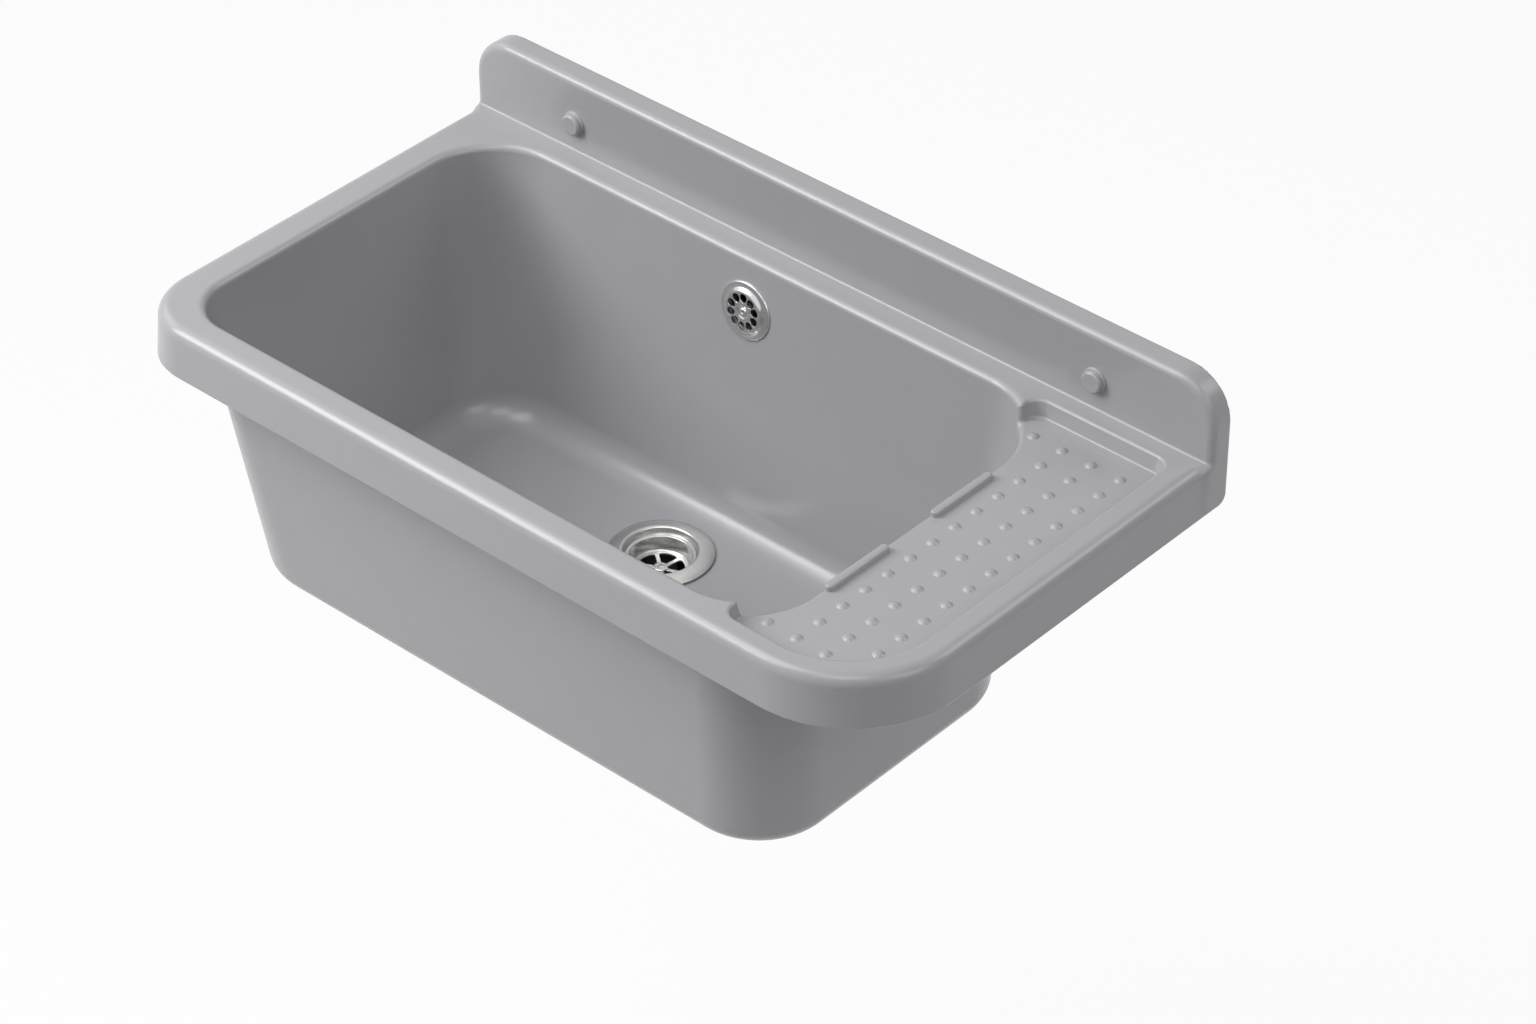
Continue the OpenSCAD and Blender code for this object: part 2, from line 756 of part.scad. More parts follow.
// Cup under the floor with a screw hub, a side inlet and a threaded outlet
module waste_body() {
    top = -body_seal_thickness;
    bottom = top - body_height;
    inner = body_radius - body_wall;
    color("#3b3b3d")
        difference() {
            union() {
                at_waste() {
                    translate([0, 0, top - body_flange_thickness])
                        cylinder(r = body_flange_radius, h = body_flange_thickness);
                    translate([0, 0, bottom])
                        cylinder(r = body_radius, h = body_height);
                    translate([0, 0, bottom - outlet_length])
                        cylinder(r = outlet_radius, h = outlet_length + cut);
                }
                at_inlet()
                    cylinder(r = inlet_radius, h = inlet_length);
            }
            difference() {
                union() {
                    at_waste() {
                        translate([0, 0, bottom + body_wall])
                            cylinder(r = inner, h = body_height);
                        translate([0, 0, bottom - outlet_length - cut])
                            cylinder(r = outlet_radius - body_wall,
                                     h = outlet_length + body_wall + 2 * cut);
                    }
                    at_inlet()
                        cylinder(r = inlet_bore, h = inlet_length + cut);
                }
                at_waste()
                    screw_hub(bottom);
            }
            at_waste()
                translate([0, 0, nut_z - nut_height]) {
                    cylinder(d = nut_flats / cos(30) + 2 * thread_fit, h = nut_height, $fn = 6);
                    translate([0, 0, -nut_height])
                        cylinder(r = strainer_screw_radius + screw_slack, h = 3 * nut_height);
                }
        }
}

// Hub on three arms that holds the brass nut in the middle of the waste
module screw_hub(bottom) {
    arm = 3;
    arm_turn = 30;
    hub_wall = 3.5;
    hub_cover = 2;
    hub_top = nut_z + hub_cover;
    translate([0, 0, bottom])
        cylinder(r = nut_flats / 2 + hub_wall, h = hub_top - bottom);
    for (turn = [0:2])
        rotate(arm_turn + 120 * turn)
            translate([0, -arm / 2, bottom])
                cube([body_radius - body_wall / 2, arm, nut_z - bottom]);
}

module brass_nut() {
    color("#b8963f")
        at_waste()
            translate([0, 0, nut_z - nut_height])
                difference() {
                    cylinder(d = nut_flats / cos(30), h = nut_height, $fn = 6);
                    translate([0, 0, -cut])
                        cylinder(r = strainer_screw_radius + thread_fit, h = nut_height + 2 * cut);
                }
}

// Radius of the rosette's dish at its floor, and thickness of its sheet
dish_radius = 5.4;
rosette_sheet = 0.8;

module overflow_rosette() {
    color("#d6d8da")
        at_overflow()
            difference() {
                rotate_extrude()
                    polygon([
                        [rosette_screw_radius + screw_slack, rosette_sheet],
                        [dish_radius - 1, rosette_sheet], [dish_radius + 1, rosette_height - 1.7],
                        [rosette_radius - 4.5, rosette_height - 1.4], [rosette_radius - 1.2, 0],
                        [rosette_radius, 0], [rosette_radius, rosette_sheet],
                        [rosette_radius - 1.2, rosette_height - 1.6],
                        [rosette_radius - 4, rosette_height], [dish_radius + 1.4, rosette_height - 0.4],
                        [dish_radius, rosette_height - rosette_dish],
                        [rosette_screw_radius + screw_slack, rosette_height - rosette_dish]]);
                for (i = [0:rosette_holes - 1])
                    rotate(360 * i / rosette_holes)
                        translate([rosette_ring_radius, 0, 0])
                            cylinder(r = rosette_hole_radius, h = rosette_height + cut, $fn = 32);
            }
}

// Seat of the rosette screw's head, and the depth of its tip behind the wall
rosette_seat = rosette_height - rosette_dish;
elbow_face = -wall - overflow_seal_thickness;
elbow_flange_thickness = 3;
elbow_back = elbow_face - elbow_flange_thickness - elbow_depth;
screw_tip_gap = 8;

module rosette_screw() {
    head_foot = 3.6;
    head_top = 2.8;
    head_rise = 1.4;
    slot = 0.8;
    color("#d6d8da")
        at_overflow() {
            translate([0, 0, elbow_back + screw_tip_gap])
                cylinder(r = rosette_screw_radius, h = rosette_seat - elbow_back - screw_tip_gap);
            translate([0, 0, rosette_seat])
                difference() {
                    cylinder(r1 = head_foot, r2 = head_top, h = head_rise);
                    translate([-head_foot - cut, -slot / 2, head_rise / 2])
                        cube([2 * (head_foot + cut), slot, head_rise]);
                }
        }
}

module overflow_seal() {
    color("#2b2b2d")
        at_overflow()
            translate([0, 0, elbow_face])
                difference() {
                    cylinder(r = elbow_flange_radius, h = overflow_seal_thickness);
                    translate([0, 0, -cut])
                        cylinder(r = overflow_hole_radius, h = overflow_seal_thickness + 2 * cut);
                }
}

// The hose is drawn with eight sides, and the elbow's spigot fits in its bore
hose_sides = 8;
hose_bore = hose_radius - hose_groove - hose_wall;
hose_spigot_radius = hose_bore * cos(180 / hose_sides) - hose_fit;

// Place of the hose spigot's axis behind the bowl's inner face, and of the hose's top
// and its clip below the overflow's axis
spigot_axis = elbow_back + 2 + hose_spigot_radius;
hose_top = elbow_flange_radius + 0.5;
clip_top = hose_top + 3;

// The elbow's neck fits the overflow hole and ends short of the bowl's inner face
neck_slack = 0.5;
neck_gap = 1;

module overflow_elbow() {
    neck_radius = overflow_hole_radius - neck_slack;
    shell = 2;
    pillar_wall = 2;
    pillar_gap = 3;
    thread_end = screw_tip_gap - 2;
    color("#3b3b3d")
        at_overflow() {
            difference() {
                union() {
                    translate([0, 0, elbow_face - elbow_flange_thickness])
                        cylinder(r = elbow_flange_radius, h = elbow_flange_thickness);
                    translate([0, 0, elbow_back])
                        cylinder(r = elbow_radius, h = elbow_depth + cut);
                    translate([0, 0, elbow_face - cut])
                        cylinder(r = neck_radius, h = wall - neck_gap + overflow_seal_thickness + cut);
                    translate([0, 0, spigot_axis])
                        rotate([90, 0, 0])
                            cylinder(r = hose_spigot_radius, h = elbow_radius + hose_spigot_length);
                }
                difference() {
                    union() {
                        translate([0, 0, elbow_back + shell])
                            cylinder(r = neck_radius - shell,
                                     h = elbow_depth + 3 * wall + overflow_seal_thickness);
                        translate([0, 0, spigot_axis])
                            rotate([90, 0, 0])
                                cylinder(r = hose_spigot_radius - shell,
                                         h = elbow_radius + hose_spigot_length + cut);
                    }
                    translate([0, 0, elbow_back])
                        cylinder(r = rosette_screw_radius + pillar_wall, h = -elbow_back - pillar_gap);
                }
                translate([0, 0, elbow_back + thread_end])
                    cylinder(r = rosette_screw_radius + thread_fit, h = -elbow_back);
            }
        }
}

// Ends of the hose: the point halfway up the elbow's spigot and the mouth of the inlet
lean_down = [0, -sin(bowl_draft), -cos(bowl_draft)];
overflow_point = [overflow_x, bowl_back - overflow_drop * tan(bowl_draft), rim_z - overflow_drop];
behind_wall = [0, -cos(bowl_draft), sin(bowl_draft)] * spigot_axis;
hose_start = overflow_point + behind_wall + lean_down * hose_top;
hose_end = [waste_x, -waste_back + inlet_length + hose_washer_thickness, underside_z - inlet_drop];
to_wall = [0, 1, 0];
bend_start = hose_start + hose_straight * lean_down;
bend_end = hose_end + hose_straight * to_wall;
straight_ribs = 5;
bend_ribs = hose_ribs - 2 * straight_ribs;
pull_down = 95;
pull_back = 22;

// Point of the hose's centre line after a number of ribs: a straight stretch, a cubic
// curve that bends to the waste, and a second straight stretch
function bend_point(t) =
    let (b = bend_start + pull_down * lean_down, c = bend_end + pull_back * to_wall, s = 1 - t)
        s * s * s * bend_start + 3 * s * s * t * b + 3 * s * t * t * c + t * t * t * bend_end;
function hose_point(rib) =
    let (left = hose_ribs - rib)
        rib < straight_ribs ? hose_start + hose_straight * rib / straight_ribs * lean_down
        : left < straight_ribs ? hose_end + hose_straight * left / straight_ribs * to_wall
        : bend_point((rib - straight_ribs) / bend_ribs);
function hose_direction(rib) =
    let (step = 0.01, v = hose_point(min(hose_ribs, rib + step)) - hose_point(max(0, rib - step)))
        v / norm(v);
function hose_ring(rib, radius) =
    let (along = hose_direction(rib), side = cross(along, [1, 0, 0]),
         across = side / norm(side), up = cross(across, along))
        [for (i = [0:hose_sides - 1])
            let (a = 360 * (i + 0.5) / hose_sides)
                hose_point(rib) + radius * (cos(a) * across + sin(a) * up)];

// Ribbed hose between the elbow and the waste body, with its bore
module overflow_hose() {
    rings = 2 * hose_ribs;
    outside = [for (k = [0:rings]) hose_ring(k / 2, hose_radius - (k % 2 == 0 ? hose_groove : 0))];
    inside = [for (k = [rings:-1:0]) hose_ring(k / 2, hose_bore)];
    loops = concat(outside, inside);
    count = len(loops);
    steps = [for (k = [0:rings - 1]) norm(hose_point((k + 1) / 2) - hose_point(k / 2))];
    echo(hose_length = steps * [for (step = steps) 1]);
    color("#dcdcd8")
        polyhedron(
            points = [for (r = loops) each r],
            faces = [for (k = [0:count - 1]) for (i = [0:hose_sides - 1])
                let (next = (i + 1) % hose_sides, this_ring = k * hose_sides,
                     next_ring = (k + 1) % count * hose_sides,
                     a = this_ring + i, b = this_ring + next, c = next_ring + next, d = next_ring + i)
                    each [[a, b, c], [a, c, d]]],
            convexity = 10);
}

// Band round the hose with two ears that are squeezed together
module hose_clip() {
    slack = 0.3;
    band = 0.8;
    ear = 6;
    slit = 1;
    color("#b9bbbd")
        at_overflow()
            translate([0, -clip_top, spigot_axis])
                rotate([90, 0, 0])
                    difference() {
                        union() {
                            cylinder(r = hose_radius + slack + band, h = clip_height);
                            translate([hose_radius, -ear / 2, 0])
                                cube([ear, ear, clip_height]);
                        }
                        translate([0, 0, -cut])
                            cylinder(r = hose_radius + slack, h = clip_height + 2 * cut);
                        translate([hose_radius - cut, -slit / 2, -cut])
                            cube([ear + 2 * cut, slit, clip_height + 2 * cut]);
                    }
}

module hose_washer() {
    color("#2b2b2d")
        at_inlet()
            translate([0, 0, inlet_length])
                difference() {
                    cylinder(r = inlet_radius, h = hose_washer_thickness);
                    translate([0, 0, -cut])
                        cylinder(r = inlet_bore, h = hose_washer_thickness + 2 * cut);
                }
}

// Nut with twelve grips that holds the hose on the inlet
module hose_nut() {
    past_inlet = 8;
    lip = 2;
    grips = 12;
    grip_depth = 2.5;
    grip_width = 3;
    inlet_slack = 0.3;
    hose_slack = 0.5;
    color("#3b3b3d")
        at_inlet()
            translate([0, 0, inlet_length + past_inlet - hose_nut_length])
                difference() {
                    union() {
                        cylinder(r = hose_nut_radius - 1, h = hose_nut_length);
                        for (i = [0:grips - 1])
                            rotate(360 * i / grips)
                                translate([hose_nut_radius - grip_depth, -grip_width / 2, 0])
                                    cube([grip_depth, grip_width, hose_nut_length]);
                    }
                    translate([0, 0, -cut])
                        cylinder(r = inlet_radius + inlet_slack, h = hose_nut_length - lip + cut);
                    translate([0, 0, -cut])
                        cylinder(r = hose_radius + hose_slack, h = hose_nut_length + 2 * cut);
                }
}

basin();
screw_cap(-1);  // screw_cap_left
screw_cap(1);  // screw_cap_right
cap_collar(-1);  // cap_collar_left
cap_collar(1);  // cap_collar_right
wall_screw(-1);  // wall_screw_left
wall_screw(1);  // wall_screw_right
strainer_flange();
strainer_screw();
brass_nut();
flange_seal();
body_seal();
waste_body();
overflow_rosette();
rosette_screw();
overflow_seal();
overflow_elbow();
overflow_hose();
hose_clip();
hose_washer();
hose_nut();
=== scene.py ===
import math

import bmesh
import bpy
import numpy as np
from mathutils import Matrix, Vector


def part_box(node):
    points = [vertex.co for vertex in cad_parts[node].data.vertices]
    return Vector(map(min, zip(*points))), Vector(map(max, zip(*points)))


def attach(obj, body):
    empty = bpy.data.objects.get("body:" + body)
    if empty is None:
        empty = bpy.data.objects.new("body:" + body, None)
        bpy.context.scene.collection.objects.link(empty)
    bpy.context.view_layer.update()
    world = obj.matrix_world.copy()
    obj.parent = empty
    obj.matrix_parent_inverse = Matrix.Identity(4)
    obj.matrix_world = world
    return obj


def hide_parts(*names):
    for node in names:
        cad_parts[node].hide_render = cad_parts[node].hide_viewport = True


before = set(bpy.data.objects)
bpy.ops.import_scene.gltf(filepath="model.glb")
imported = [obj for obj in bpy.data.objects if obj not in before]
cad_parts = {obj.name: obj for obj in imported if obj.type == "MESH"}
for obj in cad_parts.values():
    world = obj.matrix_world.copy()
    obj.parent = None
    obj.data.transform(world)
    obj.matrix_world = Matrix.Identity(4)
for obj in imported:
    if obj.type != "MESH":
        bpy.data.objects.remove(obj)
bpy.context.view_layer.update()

bl_info = {
    "name": "Wall-hung Utility Sink",
    "version": (1, 0, 0),
    "blender": (4, 5, 0),
    "location": "View3D > Sidebar > Utility Sink",
    "description": "Dresses a moulded utility sink: basin, tray studs, caps, strainer, overflow and stage",
    "category": "Add Mesh",
}

MM = 0.001


# ---------------------------------------------------------------- sizes and colours

def linear(hex_colour):
    """An sRGB hex colour as a linear one."""
    parts = [int(hex_colour[i:i + 2], 16) / 255 for i in (0, 2, 4)]
    return tuple(c / 12.92 if c <= 0.04045 else ((c + 0.055) / 1.055) ** 2.4 for c in parts)


def length(name, description, default_mm):
    """A length property whose default is given in millimetres."""
    return bpy.props.FloatProperty(name=name, description=description, default=default_mm * MM,
                                   min=0, unit="LENGTH", precision=4)


def angle(name, description, default_degrees):
    """An angle property whose default is given in degrees."""
    return bpy.props.FloatProperty(name=name, description=description,
                                   default=math.radians(default_degrees), subtype="ANGLE")


def colour(name, description, default_hex):
    """A colour property whose default is an sRGB hex colour."""
    return bpy.props.FloatVectorProperty(name=name, description=description, size=3, min=0, max=1,
                                         default=linear(default_hex), subtype="COLOR")


class BasinSizes(bpy.types.PropertyGroup):
    """Sizes of the moulded basin that the frame's boxes don't give."""
    wall: length("Wall", "Thickness of the moulded walls", 4)
    rim_drop: length("Rim drop", "Height of the wall screws above the rim's top", 20.5)
    skirt_height: length("Skirt height", "Height of the skirt below the rim's top", 35)
    skirt_draft: angle("Skirt draft", "Lean of the skirt", 3.5)
    rim_edge: length("Rim edge", "Rounding of the rim's outer edge", 7.5)
    front_left: length("Front left corner", "Plan radius of the front left corner", 44)
    front_right: length("Front right corner", "Plan radius of the front right corner", 78)
    splash_thickness: length("Backsplash", "Thickness of the backsplash", 16.5)
    splash_corner: length("Backsplash corners", "Radius of the backsplash's top corners", 30)
    splash_edge: length("Backsplash edge", "Rounding of the backsplash's front edge", 5)
    splash_fillet: length("Backsplash fillet", "Fillet between rim and backsplash", 1.5)
    left_ledge: length("Left ledge", "Rim left of the bowl", 28)
    front_ledge: length("Front ledge", "Rim in front of the bowl", 24)
    back_ledge: length("Back ledge", "Rim between bowl and backsplash", 17.5)
    bowl_length: length("Bowl length", "Length of the bowl's mouth", 470)
    bowl_depth: length("Bowl depth", "Depth of the bowl below the rim", 196)
    bowl_draft: angle("Bowl draft", "Lean of the left, front and back walls", 5.5)
    bowl_end_draft: angle("Bowl end draft", "Lean of the right wall", 3)
    mouth: length("Mouth", "Rounding of the bowl's mouth", 4.5)
    floor_fillet: length("Floor fillet", "Rounding outside at the floor, less the wall's thickness", 8)
    floor_sweep: length("Floor sweep", "Rounding inside at the floor", 18)
    mouth_front_left: length("Mouth front left", "Corner radius of the mouth", 33)
    mouth_front_right: length("Mouth front right", "Corner radius of the mouth", 48)
    mouth_back_right: length("Mouth back right", "Corner radius of the mouth", 51)
    mouth_back_left: length("Mouth back left", "Corner radius of the mouth", 51)
    floor_corner: length("Floor corners", "Corner radius of the bowl at its floor", 46)


class TraySizes(bpy.types.PropertyGroup):
    """Sizes of the drip tray, its studs and its bars."""
    depth: length("Depth", "Depth of the tray below the rim", 11.5)
    right_ledge: length("Right ledge", "Rim right of the tray", 20)
    front_ledge: length("Front ledge", "Rim in front of the tray", 18)
    back_ledge: length("Back ledge", "Rim between tray and backsplash", 13)
    overlap: length("Overlap", "Reach of the tray's ends round the bowl", 20)
    front_corner: length("Front corner", "Plan radius of the front right corner", 60)
    back_corner: length("Back corners", "Plan radius of the other corners", 10)
    edge: length("Top edge", "Rounding of the tray's top edge", 2)
    foot: length("Foot", "Rounding at the foot of the tray's walls", 1.2)
    draft: angle("Draft", "Lean of the tray's walls", 8)
    columns: bpy.props.IntProperty(name="Columns", description="Columns of studs", default=4, min=1)
    rows: bpy.props.IntProperty(name="Rows", description="Rows of studs", default=13, min=1)
    pitch_x: length("Column pitch", "Distance between columns", 21.8)
    pitch_y: length("Row pitch", "Distance between rows", 19.7)
    stud_radius: length("Stud radius", "Radius of a stud at its foot", 3.8)
    stud_height: length("Stud height", "Height of a stud", 1.7)
    margin_right: length("Right margin", "Last column to the tray's right edge", 21)
    margin_front: length("Front margin", "First row to the tray's front edge", 20.5)
    stud_clearance: length("Stud clearance", "Least distance from a stud to an edge", 5.3)
    bar_length: length("Bar length", "Length of a rib bar", 53)
    bar_width: length("Bar width", "Width of a rib bar", 5.5)
    bar_height: length("Bar height", "Height of a rib bar", 4)
    bar_spacing: length("Bar spacing", "Distance between the bars' middles", 93)
    bar_centre: length("Bar centre", "Sink's front edge to the middle of the pair", 154.5)


class FittingSizes(bpy.types.PropertyGroup):
    """Sizes of the waste, the overflow and the wall fixings."""
    screw_spacing: length("Screw spacing", "Distance between the wall screws", 424)
    screw_hole: length("Screw hole", "Radius of a wall screw's hole", 3.5)
    boss: length("Boss", "Radius of a screw boss", 9)
    waste_hole: length("Waste hole", "Radius of the waste hole", 28)
    overflow_hole: length("Overflow hole", "Radius of the overflow hole", 13.5)
    overflow_drop: length("Overflow drop", "Overflow's middle below the rim", 37.5)
    lip: length("Lip", "Radius of the strainer's lip", 23.8)
    cup: length("Cup", "Radius of the cup at its floor", 18.2)
    grid_hub: length("Grid hub", "Radius of the grid's hub", 4.4)
    grid_outer: length("Grid outer", "Outer radius of the grid's openings", 15.6)
    spoke: length("Spoke", "Width of a spoke", 2.6)
    rosette_ring: length("Rosette ring", "Radius of the ring of holes", 9.8)
    rosette_hole: length("Rosette hole", "Half the radial length of a hole in the rosette", 3.1)
    rosette_web: length("Rosette hole width", "Half the width of a hole in the rosette", 2.75)
    thread_pitch: length("Thread pitch", "Pitch of the wall screws' thread", 2.6)
    thread_core: length("Thread core", "Radius of the wall screws' core", 2.1)


class HoseSizes(bpy.types.PropertyGroup):
    """Sizes and route of the overflow hose."""
    radius: length("Radius", "Outer radius at the ribs", 12)
    groove: length("Groove", "Depth of the grooves between ribs", 1.6)
    wall: length("Wall", "Wall of the hose", 1)
    ribs: bpy.props.IntProperty(name="Ribs", description="Number of ribs", default=44, min=2)
    straight_ribs: bpy.props.IntProperty(name="Straight ribs", description="Ribs on each straight end",
                                         default=5, min=1)
    straight: length("Straight ends", "Length of the straight stretch at each end", 24)
    top: length("Top", "Hose's upper end below the overflow's axis", 20)
    depth: length("Depth", "Hose's axis behind the bowl's inner face", 20.4155)
    pull_down: length("Downward pull", "Length of the bend's upper handle", 95)
    pull_back: length("Backward pull", "Length of the bend's lower handle", 22)


class Finishes(bpy.types.PropertyGroup):
    """Colours of the materials."""
    basin: colour("Basin", "Grey moulded polypropylene", "A7A6AA")
    cap: colour("Caps", "Grey plastic of the screw caps", "ACABAF")
    steel: colour("Stainless", "Stainless steel of the strainer", "D2D2D0")
    chrome: colour("Chrome", "Chromium plate of the rosette", "DADBDA")
    zinc: colour("Zinc", "Zinc-plated steel", "B9BDC2")
    brass: colour("Brass", "Turned brass", "B8963F")
    rubber: colour("Rubber", "Black rubber of the seals", "242426")
    black: colour("Black plastic", "Black polypropylene under the bowl", "343436")
    hose: colour("Hose", "Flexible plastic of the hose", "D9D9D4")
    floor: colour("Floor", "Pale studio floor", "F4F4F4")


# ---------------------------------------------------------------- signed distances, in millimetres

def millimetres(group):
    """A property group's values by name, with lengths in millimetres and angles in radians."""
    values = {}
    for key, prop in group.bl_rna.properties.items():
        if prop.type == "FLOAT" and prop.subtype != "ANGLE":
            values[key] = getattr(group, key) / MM
        elif prop.type in {"FLOAT", "INT"}:
            values[key] = getattr(group, key)
    return values


def rounded_rectangle(x, y, x0, x1, y0, y1, radii):
    """Signed distance to a rectangle; radii are front left, front right, back right, back left."""
    right, back = x > (x0 + x1) / 2, y > (y0 + y1) / 2
    r = np.where(right, np.where(back, radii[2], radii[1]), np.where(back, radii[3], radii[0]))
    qx = np.maximum(x0 - x, x - x1) + r
    qy = np.maximum(y0 - y, y - y1) + r
    return np.minimum(np.maximum(qx, qy), 0) + np.hypot(np.maximum(qx, 0), np.maximum(qy, 0)) - r


def meet(a, b, r):
    """What two solids share, with a convex edge of radius r."""
    return np.minimum(np.maximum(a, b), -r) + np.hypot(np.maximum(a + r, 0), np.maximum(b + r, 0))


def join(a, b, r):
    """Both solids, with a fillet of radius r between them."""
    return -meet(-a, -b, r)


def ease(t):
    """A smooth step from 0 to 1."""
    t = np.clip(t, 0, 1)
    return t * t * (3 - 2 * t)


def box_mm(node):
    """Low and high corner of a CAD node's box, in millimetres."""
    return [np.array(corner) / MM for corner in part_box(node)]


class Basin:
    """The moulded basin as a signed distance field, negative inside the plastic."""

    def __init__(self, scene):
        self.b, self.t = millimetres(scene.sink_basin), millimetres(scene.sink_tray)
        self.f = millimetres(scene.sink_fittings)
        b, t = self.b, self.t
        low, high = box_mm("basin")
        self.left, self.right, self.front, self.top = low[0], high[0], low[1], high[2]
        self.rim_z = -b["rim_drop"]
        self.foot_z = self.rim_z - b["skirt_height"]
        self.splash_y = -b["splash_thickness"]
        self.floor_z = self.rim_z - b["bowl_depth"]
        self.tray_z = self.rim_z - t["depth"]
        # Each mouth as x from, x to, y from, y to; corners run front left, front right, back right, back left
        self.bowl = (self.left + b["left_ledge"], self.left + b["left_ledge"] + b["bowl_length"],
                     self.front + b["front_ledge"], self.splash_y - b["back_ledge"])
        self.bowl_corners = [b["mouth_" + corner] for corner in
                             ("front_left", "front_right", "back_right", "back_left")]
        self.tray = (self.bowl[1] - t["overlap"], self.right - t["right_ledge"],
                     self.front + t["front_ledge"], self.splash_y - t["back_ledge"])
        self.tray_corners = [t["back_corner"], t["front_corner"], t["back_corner"], t["back_corner"]]
        self.waste = sum(box_mm("body_seal")) / 2
        rosette, drop = sum(box_mm("overflow_rosette")) / 2, self.f["overflow_drop"]
        wall_y = self.bowl[3] - drop * math.tan(b["bowl_draft"])
        self.overflow = np.array([rosette[0], wall_y, self.rim_z - drop])

    def bowl_space(self, x, y, z, fillet):
        """The space in the bowl, with a fillet between its walls and floor."""
        b = self.b
        depth = self.rim_z - z
        lean, end_lean = depth * math.tan(b["bowl_draft"]), depth * math.tan(b["bowl_end_draft"])
        down = np.clip(depth / b["bowl_depth"], 0, 1)
        sides = rounded_rectangle(x, y, self.bowl[0] + lean, self.bowl[1] - end_lean,
                                  self.bowl[2] + lean, self.bowl[3] - lean,
                                  [r + (b["floor_corner"] - r) * down for r in self.bowl_corners])
        return meet(sides * math.cos(b["bowl_draft"]), self.floor_z - z, fillet)

    def tray_space(self, x, y, z):
        """The space in the drip tray."""
        t = self.t
        lean = (self.rim_z - z) * math.tan(t["draft"])
        sides = rounded_rectangle(x, y, self.tray[0] + lean, self.tray[1] - lean,
                                  self.tray[2] + lean, self.tray[3] - lean, self.tray_corners)
        return meet(sides * math.cos(t["draft"]), self.tray_z - z, t["foot"])

    def block(self, x, y, z):
        """Rim and backsplash as a solid block that reaches down past the bowl."""
        b = self.b
        far, fade = 1000.0, 10
        at_splash = ease((y - self.splash_y + fade) / fade)
        inset = np.clip(z - self.foot_z, 0, b["skirt_height"]) * math.tan(b["skirt_draft"]) * (1 - at_splash)
        side = rounded_rectangle(x, y, self.left + inset, self.right - inset, self.front + inset, far,
                                 [b["front_left"], b["front_right"], 0, 0])
        corner = b["splash_corner"]
        outline = rounded_rectangle(x, z, self.left, self.right, -far, self.top, [0, 0, corner, corner])
        step = join(z - self.rim_z, self.splash_y - y, b["splash_fillet"])
        edge = b["rim_edge"] + (b["splash_edge"] - b["rim_edge"]) * at_splash
        return meet(step, np.maximum(side, outline), edge)

    def __call__(self, x, y, z):
        b, t, f = self.b, self.t, self.f
        block = meet(self.block(x, y, z), -self.tray_space(x, y, z), t["edge"])
        # The mouth's edge is sharper along the tray, where little plastic is left for it
        thin_edge, fade = 2.0, 12
        along_tray = ease((x - self.tray[0]) / fade) * ease((self.tray[1] - x) / fade)
        mouth = b["mouth"] + (thin_edge - b["mouth"]) * along_tray
        bowl = self.bowl_space(x, y, z, b["floor_fillet"])
        inside = meet(block, -self.bowl_space(x, y, z, b["floor_sweep"]), mouth)
        outside = meet(block, -bowl, mouth)
        shell = np.maximum(inside, -outside - b["wall"])
        # Below the skirt's foot only the bowl is left, and nothing passes the wall
        skirt_corner, bowl_zone, cut_edge = 7.0, 9.0, 1.0
        kept = np.minimum(meet(self.foot_z - z, y, skirt_corner), np.maximum(bowl - bowl_zone, y))
        shell = meet(shell, kept, cut_edge)
        boss_fillet, boss_start = 1.5, self.splash_y + 2
        for side in (-1, 1):
            radius = np.hypot(x - side * f["screw_spacing"] / 2, z)
            boss = np.maximum(radius - f["boss"], np.maximum(boss_start - y, y))
            shell = np.maximum(join(shell, boss, boss_fillet), f["screw_hole"] - radius)
        # The overflow's hole is square to its leaning wall, and the waste's is upright
        tilt, overflow_reach, waste_reach = b["bowl_draft"], 8, 10
        ox, oy, oz = self.overflow
        up = (z - oz) * math.cos(tilt) + (y - oy) * math.sin(tilt)
        along = (y - oy) * math.cos(tilt) - (z - oz) * math.sin(tilt)
        hole = np.maximum(np.hypot(x - ox, up) - f["overflow_hole"], abs(along) - overflow_reach)
        drain = np.maximum(np.hypot(x - self.waste[0], y - self.waste[1]) - f["waste_hole"],
                           abs(z - self.floor_z) - waste_reach)
        return np.maximum(np.maximum(shell, -hole), -drain)


def on_axis(values, axis):
    """Values laid along one axis of a grid."""
    return values.reshape([-1 if i == axis else 1 for i in range(3)])


